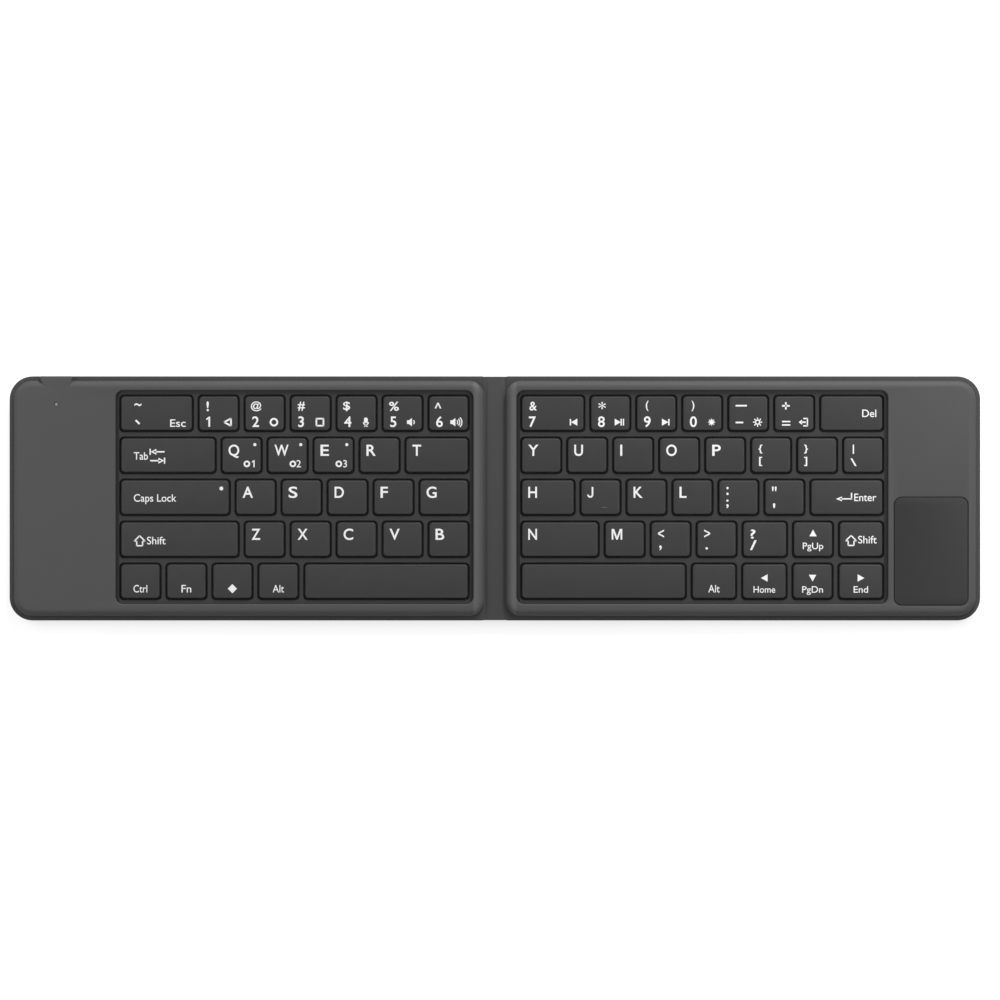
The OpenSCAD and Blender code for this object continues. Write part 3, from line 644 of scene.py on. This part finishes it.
# Icons and drawn letters, in millimetres: what to add, and its numbers
iconTriangleLeft = outline(0.55, (-1.25, 0), (1.0, 1.2), (1.0, -1.2), (-1.25, 0))
iconCircle = [(addArc, 0, 0, 1.1, 0.6)]
iconRing = [(addArc, 0, 0, 0.8, 0.55)]
iconDot = [(addDisc, 0, 0, 0.5)]
iconLockDot = [(addDisc, 0, 0, 0.62)]
iconSquare = [(addBar, *ends, 0.52) for ends in (
    (-1.2, 1.15, 1.2, 1.15), (-1.2, -1.15, 1.2, -1.15), (-1.15, -1.2, -1.15, 1.2), (1.15, -1.2, 1.15, 1.2))]
iconMicrophone = [
    (addShape, (-0.62, -0.2), (0.62, -0.2), (0.62, 1.1), (0.3, 1.5), (-0.3, 1.5), (-0.62, 1.1)),
    (addArc, 0, 0, 0.8, 0.4, 180, 360), (addBar, 0, -0.7, 0, -1.45, 0.45), (addBar, -0.6, -1.35, 0.6, -1.35, 0.32)]
iconSpeaker = speaker(1)
iconLoudSpeaker = speaker(3, -0.55)
iconPrevious = [(addBar, -1.05, -1.05, -1.05, 1.05, 0.45), (addShape, (-0.85, 0), (1.2, -1.15), (1.2, 1.15))]
iconNext = [(addShape, (-1.2, -1.15), (0.85, 0), (-1.2, 1.15)), (addBar, 1.05, -1.05, 1.05, 1.05, 0.45)]
iconPlayPause = [(addShape, (-1.6, -1.15), (0.35, 0), (-1.6, 1.15)), (addBar, 0.5, -1.1, 0.5, 1.1, 0.42),
                 (addBar, 1.25, -1.1, 1.25, 1.1, 0.42)]
iconSun = [(addArc, 0, 0, 0.68, 0.4)] + sunRays(0.98, 1.5, 0.36)
iconSmallSun = [(addDisc, 0, 0, 0.72)] + sunRays(0.72, 1.15, 0.3)
iconExit = [(addBar, -0.1, 1.2, 1.4, 1.2, 0.42), (addBar, -0.1, -1.2, 1.4, -1.2, 0.42),
            (addBar, 1.25, -1.2, 1.25, 1.2, 0.42), (addBar, -0.7, 0, 0.7, 0, 0.5),
            (addShape, (-1.6, 0), (-0.5, -0.85), (-0.5, 0.85))]
iconShift = outline(0.42, (0, 1.75), (1.8, 0), (0.95, 0), (0.95, -1.5), (-0.95, -1.5), (-0.95, 0), (-1.8, 0),
                    (0, 1.75))
iconTab = [stroke for y, way in ((1.45, -1), (-1.45, 1)) for stroke in (
    (addBar, -2.35 * way, y, 1.2 * way, y, 0.46), (addBar, 2.35 * way, y - 1.0, 2.35 * way, y + 1.0, 0.42),
    (addShape, (2.2 * way, y), (0.35 * way, y + 0.95 * way), (0.35 * way, y - 0.95 * way)))]
iconEnter = [(addBar, 2.45, -0.1, 2.45, 1.9, 0.42), (addBar, 2.65, -0.1, -1.4, -0.1, 0.42),
             (addShape, (-2.65, -0.1), (-0.7, -0.9), (-0.7, 0.7))]
iconDiamond = [(addShape, (-1.5, 0), (0, -1.5), (1.5, 0), (0, 1.5))]
iconGrave = [(addBar, -0.65, 0.6, 0.6, -0.6, 0.6)]
iconLongDash = [(addBar, -1.85, 0, 1.85, 0, 0.52)]
iconShortDash = [(addBar, -1.25, 0, 1.25, 0, 0.52)]
iconPlus = [(addBar, -1.25, 0, 1.25, 0, 0.52), (addBar, 0, -1.2, 0, 1.2, 0.52)]
iconEquals = [(addBar, -1.35, y, 1.35, y, 0.46) for y in (0.55, -0.55)]
letterM = [(addShape, (0, 0), (0.54, 0), (0.54, 2.55), (1.48, 0), (1.97, 0), (2.91, 2.55), (2.91, 0), (3.45, 0),
            (3.45, 3.5), (2.66, 3.5), (1.725, 0.9), (0.79, 3.5), (0, 3.5))]
letterJ = [(addBar, 1.72, 3.5, 1.72, 0.95, 0.54), (addArc, 0.98, 0.98, 0.74, 0.54, 180, 360)]

# A mark is (what, where, x, y, size) and for words a width, in millimetres. "left" and "right" measure x from
# that side of the cap to that end of the word, or to the icon's centre, and "middle" from the cap's middle. y is
# measured down from the cap's rear edge to the baseline or the icon's centre, and in a "box" to the sign's top.
marksAt = {  # x, y and size of marks that many caps share
    "letter": (2.1, 5.7, 3.5), "digit": (2.3, 10.0, 3.3), "dot": (2.0, 2.1, 1), "ring": (4.6, 8.4, 1),
    "word": (0, 9.2, 2.4)}
letterWidths = {
    "A": 3.4, "B": 2.85, "C": 3.15, "D": 3.05, "E": 2.75, "F": 2.4, "G": 3.3, "H": 2.85, "K": 3.0,
    "L": 2.3, "N": 2.85, "O": 3.45, "P": 2.8, "Q": 3.5, "R": 3.05, "S": 2.9, "T": 2.85, "U": 2.85, "V": 3.3,
    "W": 4.6, "X": 3.3, "Y": 3.3, "Z": 2.85}
signBoxes = {  # left, top, width and height on the cap
    "~": (4.4, 2.3, 2.3, 0.95), "!": (2.4, 1.7, 0.75, 3.2), "@": (1.85, 1.7, 3.5, 3.2),
    "#": (2.15, 1.8, 2.35, 3.0), "$": (1.95, 1.75, 2.3, 3.15), "%": (1.95, 1.8, 3.2, 3.0),
    "^": (1.8, 2.1, 2.2, 1.9), "&": (2.5, 1.8, 2.4, 2.9), "*": (2.45, 1.85, 2.4, 2.4),
    "(": (2.9, 1.5, 0.95, 3.4), ")": (2.8, 1.5, 0.95, 3.4), "{": (2.2, 2.1, 1.25, 2.9),
    "[": (2.4, 6.1, 1.0, 3.0), "}": (2.1, 2.1, 1.25, 2.9), "]": (2.1, 6.1, 1.0, 3.0),
    "|": (2.95, 2.1, 0.42, 3.0), "\\": (2.2, 6.6, 2.0, 2.5), ":": (2.4, 2.15, 0.72, 2.7),
    ";": (2.35, 6.35, 0.78, 2.8), "\"": (2.25, 2.1, 1.5, 1.5), "'": (2.6, 7.6, 0.72, 1.5),
    "<": (2.2, 2.4, 2.0, 2.6), ",": (2.6, 7.6, 0.82, 1.6), ">": (2.25, 2.4, 2.0, 2.6),
    ".": (2.7, 8.15, 0.8, 0.8), "?": (2.35, 2.35, 1.65, 3.0), "/": (2.2, 5.9, 2.2, 3.2)}


def letter(text):
    return [(text, "left", *marksAt["letter"]) + ((letterWidths[text],) if text in letterWidths else ())]


def sign(text):
    left, top, width, height = signBoxes[text]
    return (text, "box", left, top, height, width)


def pair(upper, lower, icon=None, iconX=3.3):
    marks = [sign(upper), (lower, "left", *marksAt["digit"])]
    return marks + ([(icon, "right", iconX, 8.5, 1)] if icon else [])


def channel(text, number, x=1.95):
    return letter(text) + [(iconDot, "right", *marksAt["dot"]), (iconRing, "right", *marksAt["ring"]),
                           (number, "right", x, 9.5, 2.3)]


def word(text, width):
    return [(text, "middle", *marksAt["word"], width)]


def arrow(turn, text, arrowY, wordY, width):
    return [(arrowHead(turn), "middle", 0, arrowY, 1), (text, "middle", 0, wordY, 2.1, width)]


legends = {
    "left_number_row": [
        [sign("~"), (iconGrave, "left", 5.45, 8.45, 1), ("Esc", "right", 2.06, 10.0, 2.4, 5.1)],
        pair("!", figureOne(3.3), iconTriangleLeft), pair("@", "2", iconCircle), pair("#", "3", iconSquare),
        pair("$", "4", iconMicrophone), pair("%", "5", iconSpeaker), pair("^", "6", iconLoudSpeaker, 3.6)],
    "key_tab": [[("Tab", "left", 4.2, 7.0, 2.4, 4.6), (iconTab, "left", 11.9, 5.9, 1)]],
    "key_caps_lock": [[("Caps Lock", "left", 4.2, 7.0, 2.4, 13.9), (iconLockDot, "right", 2.5, 2.7, 1)]],
    "key_shift_left": [[(iconShift, "left", 6.1, 6.2, 1), ("Shift", "left", 8.5, 7.2, 2.4, 6.1)]],
    "left_modifiers": [
        word("Ctrl", 4.5), word("Fn", 3.2), [(iconDiamond, "middle", 0, 8.0, 1)], word("Alt", 3.7)],
    "key_q": [channel("Q", figureOne(2.3), 2.95)], "key_w": [channel("W", "2")], "key_e": [channel("E", "3")],
    "right_number_row": [
        pair("&", "7", iconPrevious), pair("*", "8", iconPlayPause), pair("(", "9", iconNext),
        pair(")", "0", iconSmallSun),
        [(iconLongDash, "left", 4.05, 3.1, 1), (iconShortDash, "left", 3.45, 8.6, 1),
         (iconSun, "right", 3.3, 8.5, 1)],
        [(iconPlus, "left", 3.6, 3.15, 1), (iconEquals, "left", 3.7, 8.85, 1), (iconExit, "right", 3.3, 8.5, 1)],
        [("Del", "right", 2.06, 6.8, 2.4, 4.6)]],
    "punctuation_keys": [
        [sign(upper), sign(lower)] for upper, lower in ("{[", "}]", "|\\", ":;", "\"'", "<,", ">.", "?/")],
    "key_enter": [[(iconEnter, "right", 12.6, 6.0, 1), ("Enter", "right", 2.06, 6.8, 2.4, 7.2)]],
    "arrow_keys": [arrow(0, "PgUp", 3.56, 8.8, 6.7), word("Alt", 3.7), arrow(90, "Home", 4.5, 9.3, 7.1),
                   arrow(180, "PgDn", 4.5, 9.3, 6.8), arrow(-90, "End", 4.5, 9.3, 4.7)],
    "key_shift_right": [[(iconShift, "right", 10.3, 6.1, 1), ("Shift", "right", 1.9, 6.9, 2.4, 6.1)]],
    "key_m": [[(letterM, "left", 2.1, 5.7, 1)]], "key_j": [[(letterJ, "left", 2.0, 5.7, 1)]]}
for name in "rtasdfgzxcvbyuiophkln":
    legends["key_" + name] = [letter(name.upper())]


# Prints one mark on a cap: its faces are added to the bmesh
def printMark(bm, mark, low, high, z):
    what, where, x, y, size, *width = mark
    edge, base = 0, 0  # where the mark's anchor lies in its own frame
    if isinstance(what, str):
        verts = addWord(bm, what, ink["weight"] if size > ink["smallSize"] else ink["smallWeight"])
        xs, ys = zip(*[v.co.xy for v in verts])
        scaleY = size / (max(ys) - min(ys)) if where == "box" else size / capitalHeight
        scaleX = width[0] / (max(xs) - min(xs)) if width else scaleY
        place(bm, verts, (scaleX, scaleY, 1))
        edge = scaleX * {"left": min(xs), "box": min(xs), "right": max(xs), "middle": (min(xs) + max(xs)) / 2}[where]
        base = scaleY * max(ys) if where == "box" else 0
    else:
        before = set(bm.verts)
        for add, *values in what:
            add(bm, *values)
        verts = [v for v in bm.verts if v not in before]
    start = {"left": low.x + x * mm, "box": low.x + x * mm, "right": high.x - x * mm,
             "middle": (low.x + high.x) / 2 + x * mm}[where]
    place(bm, verts, (mm, mm, mm), (start - edge * mm, high.y - (y + base) * mm, z))


for node, marks in legends.items():
    bm = bmesh.new()
    for capMarks, (low, high) in zip(marks, capBoxes(node), strict=True):
        for mark in capMarks:
            printMark(bm, mark, low, high, high.z + ink["lift"] * mm)
    makePiece("ink_" + node, bm, printedInk, node)
bpy.data.objects.remove(fontObject)

switch = {  # millimetres; cellGap is how much smaller a cap is than its cell, scissorGap is left over a scissor
    "filmThickness": 0.25, "filmRadius": 2.9, "domeRadius": 2.79, "domeTopRadius": 1.5, "domeWall": 0.4,
    "domeEdge": 0.15, "domeSegments": 28, "scissorWidth": 10.01, "scissorLength": 8.6, "scissorBar": 0.85,
    "scissorThickness": 0.6, "scissorPlay": 0.15, "scissorGap": 0.05, "scissorRadius": 1.0, "scissorSteps": 3,
    "cornerShrink": 0.6, "wideCap": 27.65, "cellGap": 2.35}


# Switch film of a half; its domes are pieces of their own, one for each key body
def makeFilm(half):
    low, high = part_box(half + "_membrane")
    bm = bmesh.new()
    skinSolid(bm, [ring(bm, low.x, high.x, low.y, high.y, z, switch["filmRadius"] * mm)
                   for z in (low.z, low.z + switch["filmThickness"] * mm)])
    piece = makePiece(half + "Film", bm, domeFilmPaintedShade, half + "_half")
    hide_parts(half + "_membrane")


def circle(bm, x, y, z, radius):
    verts = bmesh.ops.create_circle(bm, segments=switch["domeSegments"], radius=radius * mm,
                                    matrix=Matrix.Translation((x, y, z)))["verts"]
    return list({e for v in verts for e in v.link_edges})


# Hollow rubber dome that stands on the film
def addDome(bm, x, y, footZ, topZ):
    foot, top, shell = switch["domeRadius"], switch["domeTopRadius"], switch["domeWall"]
    edge = switch["domeEdge"]
    loops = [circle(bm, x, y, z, r) for z, r in (
        (topZ, top - edge), (topZ - edge * mm, top), (footZ, foot), (footZ, foot - shell),
        (topZ - shell * mm, top - shell))]
    skinLoops(bm, loops)
    fillLoops(bm, loops[:1])
    fillLoops(bm, loops[-1:], -1)


# One nylon frame of a scissor, leaning about its middle
def addScissor(bm, x, y, z, width, lean):
    before = set(bm.verts)
    bar, thick, length = (switch["scissor" + part] * mm for part in ("Bar", "Thickness", "Length"))
    loops = []
    for inset, side in ((0, 1), (0, -1), (bar, -1), (bar, 1)):
        loops.append(ring(bm, inset - width / 2, width / 2 - inset, inset - length / 2, length / 2 - inset,
                          side * thick / 2, switch["scissorRadius"] * mm - inset * switch["cornerShrink"],
                          switch["scissorSteps"]))
    skinLoops(bm, loops + loops[:1])
    verts = [v for v in bm.verts if v not in before]
    bmesh.ops.rotate(bm, matrix=Matrix.Rotation(lean, 3, "X"), verts=verts)
    place(bm, verts, move=(x, y, z))


# Domes and scissors under the caps of one key body; they stay on their half
def makeSwitches(joint):
    node, half = joint["child"], joint["parent"].replace("_half", "")
    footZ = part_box(half + "_membrane")[0].z + switch["filmThickness"] * mm
    domeTop, (low, high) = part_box(half + "_membrane")[1].z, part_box(half + "_scissors")
    tall = domeTop - footZ - (switch["scissorGap"] + switch["scissorThickness"]) * mm
    lean = math.asin(tall / (switch["scissorLength"] * mm))
    outerWidth = switch["scissorWidth"]
    innerWidth = outerWidth - 2 * switch["scissorBar"] - 2 * switch["scissorPlay"]
    domes, scissors = bmesh.new(), bmesh.new()
    for capLow, capHigh in capBoxes(node):
        x, y = ((capLow + capHigh) / 2).xy
        addDome(domes, x, y, footZ, domeTop)
        capWidth = capHigh.x - capLow.x
        away = (capWidth + switch["cellGap"] * mm) / 4
        for dx in (-away, away) if capWidth > switch["wideCap"] * mm else (0,):  # two under a wide cap
            for width, angle in ((outerWidth, lean), (innerWidth, -lean)):
                addScissor(scissors, x + dx, y, (low.z + high.z) / 2, width * mm, angle)
    for kind, bm, material, slot, replaced, foot, top in (
            ("domes_", domes, domeFilmPaintedShade, "membrane_film", "_membrane", footZ, domeTop),
            ("scissors_", scissors, blackNylon, "nylon", "_scissors", low.z, high.z)):
        piece = makePiece(kind + node, bm, material, half + "_half")
        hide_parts(half + replaced)
        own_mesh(piece)


for half in ("left", "right"):
    makeFilm(half)
for joint in frame["joints"]:
    if joint["name"].startswith("press_"):
        makeSwitches(joint)
print("switches made")

keyNodes = [n for n in frame["nodes"] if frame["nodes"][n]["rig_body"] == n and n != "spine"]
for node in keyNodes:
    boxes = capBoxes(node)
    for i, (low, high) in enumerate(boxes):
        makeCap("cap_" + node + ("_%d" % (i + 1) if len(boxes) > 1 else ""), node, low, high)

homing = {  # millimetres; right and front are measured from the middle of the cap
    "length": 2.2, "width": 0.7, "height": 0.16, "right": 1.1, "front": 3.5, "sunk": 0.02, "segments": 24}


# Raised bar that a fingertip feels: a stretched ball, half sunk in the cap
def makeHomingBar(node):
    low, high = capBoxes(node)[0]
    bm = bmesh.new()
    bmesh.ops.create_uvsphere(bm, u_segments=homing["segments"], v_segments=homing["segments"] // 2,
                              radius=homing["width"] / 2 * mm)
    stretch = (homing["length"] - homing["width"]) / 2 * mm
    for v in bm.verts:
        if abs(v.co.x) > tiny:
            v.co.x += math.copysign(stretch, v.co.x)
    x, y = ((low + high) / 2).xy
    place(bm, bm.verts, (1, 1, 2 * homing["height"] / homing["width"]),
          (x + homing["right"] * mm, y - homing["front"] * mm, high.z - homing["sunk"] * mm))
    makePiece("homingBar_" + node, bm, polishedAbsWithPaintedHighlight, node)


makeHomingBar("key_j")

makePad()

port = {  # millimetres; the boss's left and right edges are measured from the middle of the port
    "bossRoot": (-3.3, 4.7), "bossNeck": (-4.85, 5.3), "bossMouth": (-5.0, 5.6), "rootTuck": 0.5, "topTuck": 0.01,
    "rimRound": 0.4, "rimSteps": 5, "rimReach": 0.1, "clearance": 0.1, "cutPast": 1.0, "shellWall": 0.3,
    "shellEdge": 0.06, "backWall": 1.1, "loopRound": 0.4999, "loopSteps": 10, "tongue": (6.69, 4.45, 0.7),
    "tongueRound": 0.12, "tongueSteps": 3, "tongueTuck": 0.05, "contacts": 12, "contact": (0.27, 3.0, 0.04),
    "contactPitch": 0.5, "contactMiddle": 2.3}
portLow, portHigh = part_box("usb_socket")
portX, portZ = (portLow.x + portHigh.x) / 2, (portLow.z + portHigh.z) / 2


# Stadium-shaped loop standing in the XZ plane round the middle of the port
def portLoop(bm, width, height, y):
    edges = ring(bm, -width / 2, width / 2, -height / 2, height / 2, 0, height * port["loopRound"],
                 port["loopSteps"])
    verts = list({v for e in edges for v in e.verts})
    bmesh.ops.rotate(bm, matrix=Matrix.Rotation(math.radians(90), 3, "X"), verts=verts)
    place(bm, verts, move=(portX, y, portZ))
    return edges


# Skins upright loops and closes both ends
def skinUpright(bm, loops):
    skinLoops(bm, loops)
    for loop in (loops[0], loops[-1]):
        bmesh.ops.edgeloop_fill(bm, edges=loop)


# Metal shell with a softened lip, and the tongue inside it with contacts on both faces
def makePort():
    bm = bmesh.new()
    width, height = portHigh.x - portLow.x, portHigh.z - portLow.z
    edge, walls, back = port["shellEdge"] * mm, 2 * port["shellWall"] * mm, portLow.y + port["backWall"] * mm
    skinUpright(bm, [portLoop(bm, width - inset, height - inset, y) for inset, y in (
        (0, portLow.y), (0, portHigh.y - edge), (2 * edge, portHigh.y), (walls - 2 * edge, portHigh.y),
        (walls, portHigh.y - 2 * edge), (walls, back))])
    shell = makePiece("portShell", bm, stainlessShell, "left_half")
    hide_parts("usb_socket")
    tongue = bmesh.new()
    size = [s * mm for s in port["tongue"]]
    bmesh.ops.create_cube(tongue, size=1.0)
    place(tongue, tongue.verts, size)
    roundOff(tongue, tongue.edges[:], port["tongueRound"] * mm, port["tongueSteps"])
    place(tongue, tongue.verts, move=(portX, back + size[1] / 2 - port["tongueTuck"] * mm, portZ))
    makePiece("portTongue", tongue, tonguePolymer, "left_half")
    contacts = bmesh.new()
    for face in (-1, 1):
        for i in range(port["contacts"]):
            strip = bmesh.ops.create_cube(contacts, size=1.0)["verts"]
            x = portX + (i - (port["contacts"] - 1) / 2) * port["contactPitch"] * mm
            place(contacts, strip, [s * mm for s in port["contact"]],
                  (x, back + port["contactMiddle"] * mm, portZ + face * size[2] / 2))
    makePiece("portContacts", contacts, goldContacts, "left_half")


# Flush boss that fills the flange and the shoulder round the port, and the cutter for its mouth
def makeBoss():
    bm = bmesh.new()
    neckY, near = halfDepth - lip, port["rimReach"] * mm
    rootY = neckY - (case["shoulderWidth"] + port["rootTuck"]) * mm
    rows = (("bossRoot", rootY), ("bossNeck", neckY), ("bossMouth", halfDepth))
    corners = [(port[row][0], y) for row, y in rows] + [(port[row][1], y) for row, y in rows[::-1]]
    face = bm.faces.new([bm.verts.new((portX + x * mm, y, case["floorThickness"] * mm)) for x, y in corners])
    made = bmesh.ops.extrude_face_region(bm, geom=[face])
    top = [g for g in made["geom"] if isinstance(g, bmesh.types.BMVert)]
    place(bm, top, move=(0, 0, deckZ - (case["floorThickness"] + port["topTuck"]) * mm))
    rims = [e for e in bm.edges if not all(v.co.y < rootY + near for v in e.verts)
            and (all(v.co.z > deckZ - near for v in e.verts) or all(v.co.y > neckY + near for v in e.verts))]
    roundOff(bm, rims, port["rimRound"] * mm, port["rimSteps"])
    boss = makePiece("portBoss", bm, softTouch, "left_half")
    cutter = bmesh.new()
    gap, past = 2 * port["clearance"] * mm, port["cutPast"] * mm
    width, height = portHigh.x - portLow.x + gap, portHigh.z - portLow.z + gap
    skinUpright(cutter, [portLoop(cutter, width, height, y) for y in (rootY - past, halfDepth + past)])
    bmesh.ops.recalc_face_normals(cutter, faces=cutter.faces)
    return boss, addObject("portCutter", meshFrom("portCutter", cutter))


# Cuts one piece with another for good
def cutPiece(piece, cutter):
    cut = piece.modifiers.new("cut", "BOOLEAN")
    cut.operation, cut.solver, cut.object = "DIFFERENCE", "EXACT", cutter
    bpy.context.view_layer.update()
    mesh = bpy.data.meshes.new_from_object(piece.evaluated_get(bpy.context.evaluated_depsgraph_get()))
    piece.modifiers.clear()
    piece.data = mesh
    shadeMesh(mesh)


makePort()
portBoss, portCutter = makeBoss()
for piece in (portBoss, leftDeck, leftBase):
    cutPiece(piece, portCutter)
bpy.data.objects.remove(portCutter)
print("touchpad and port made")


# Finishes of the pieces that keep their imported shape
finishes = {
    "left_key_frame": frameAbs["left"], "right_key_frame": frameAbs["right"], "left_key_plate": zincSteel,
    "right_key_plate": zincSteel, "main_board": solderMask, "touchpad_board": solderMask, "battery": pouchFoil,
    "charge_light": lightPipe, "left_magnets": nickelPlate, "right_magnets": nickelPlate}
for node, material in finishes.items():
    mesh = frame["nodes"][node].data
    for i in range(len(mesh.materials)):
        mesh.materials[i] = material
    if not mesh.materials:
        mesh.materials.append(material)
print("finishes set on", len(finishes), "nodes")


studio = {  # a lamp is its place in metres, watts and size in metres; pixel, floorDrop and sharpLevel are in mm
    "floorSize": 3.0, "floorTone": "#c8c8c8", "floorLift": 0.72, "floorDrop": -0.1, "worldTone": "#ffffff",
    "worldStrength": 0.3,
    "lamps": {"rearLamp": ((0.3, 1.0, 0.62), 13.5, 0.5), "rightLamp": ((0.22, 0.05, 0.16), 0.13, 0.12),
              "leftLamp": ((-0.28, 0.04, 0.16), 0.14, 0.12)},
    "pictureSize": 1000, "pixel": 0.3275, "centreX": 494.9, "centreY": 498.4, "distance": 2.4,
    "sharpLevel": 4.5, "sensor": 36.0, "clip": (0.05, 10.0)}


# One where a ray is of one of these kinds, and else nought
def rayIs(tree, kinds):
    outputs = addNode(tree, "LightPath").outputs
    found = outputs["Is %s Ray" % kinds[0]]
    for kind in kinds[1:]:
        found = addNode(tree, "Math", {"operation": "MAXIMUM"}, links={
            0: found, 1: outputs["Is %s Ray" % kind]}).outputs[0]
    return found


# Floor that looks white to the camera and in reflections, and takes soft shadows
def makeFloor():
    bm = bmesh.new()
    bmesh.ops.create_grid(bm, x_segments=1, y_segments=1, size=studio["floorSize"])
    place(bm, bm.verts, move=(0, 0, studio["floorDrop"] * mm))
    floor = addObject("floor", meshFrom("floor", bm))
    material = bpy.data.materials.new("paleFloor")
    tree = emptyTree(material)
    diffuse = addNode(tree, "BsdfDiffuse", inputs={"Color": colour(studio["floorTone"])})
    lift = addNode(tree, "Math", {"operation": "MULTIPLY"}, {1: studio["floorLift"]},
                   {0: rayIs(tree, ("Camera", "Glossy"))})
    glow = addNode(tree, "Emission", links={"Strength": lift.outputs[0]})
    both = addNode(tree, "AddShader", links={0: diffuse.outputs[0], 1: glow.outputs[0]})
    addNode(tree, "OutputMaterial", links={"Surface": both.outputs[0]})
    floor.data.materials.append(material)


# World that looks white, but lights the scene more weakly
def makeWorld():
    scene.world = bpy.data.worlds.new("studio")
    tree = emptyTree(scene.world)
    strength = addNode(tree, "MapRange", inputs={"To Min": studio["worldStrength"], "To Max": 1.0},
                       links={"Value": rayIs(tree, ("Camera", "Glossy", "Transmission"))})
    background = addNode(tree, "Background", inputs={"Color": colour(studio["worldTone"])},
                         links={"Strength": strength.outputs[0]})
    addNode(tree, "OutputWorld", links={"Surface": background.outputs[0]})


# Square lamp that points at the keyboard's middle
def makeLamp(name, spot, power, size):
    data = bpy.data.lights.new(name, "AREA")
    data.energy, data.size = power, size
    lamp = addObject(name, data)
    lamp.location = spot
    lamp.rotation_euler = (-Vector(spot)).to_track_quat("-Z", "Y").to_euler()
    lamp.visible_camera = False


# Camera straight above; the keyboard's middle lies at centreX and centreY in the picture
def makeCamera():
    data = bpy.data.cameras.new("camera")
    scene.camera = addObject("camera", data)
    pixel, middle = studio["pixel"] * mm, studio["pictureSize"] / 2
    data.sensor_width = studio["sensor"]
    data.lens = studio["sensor"] * studio["distance"] / (studio["pictureSize"] * pixel)
    data.clip_start, data.clip_end = studio["clip"]
    scene.camera.location = ((middle - studio["centreX"]) * pixel, (studio["centreY"] - middle) * pixel,
                             studio["sharpLevel"] * mm + studio["distance"])


makeFloor()
makeWorld()
for name, (spot, power, size) in studio["lamps"].items():
    makeLamp(name, spot, power, size)
makeCamera()
scene.view_settings.view_transform = "Standard"
print("studio made")
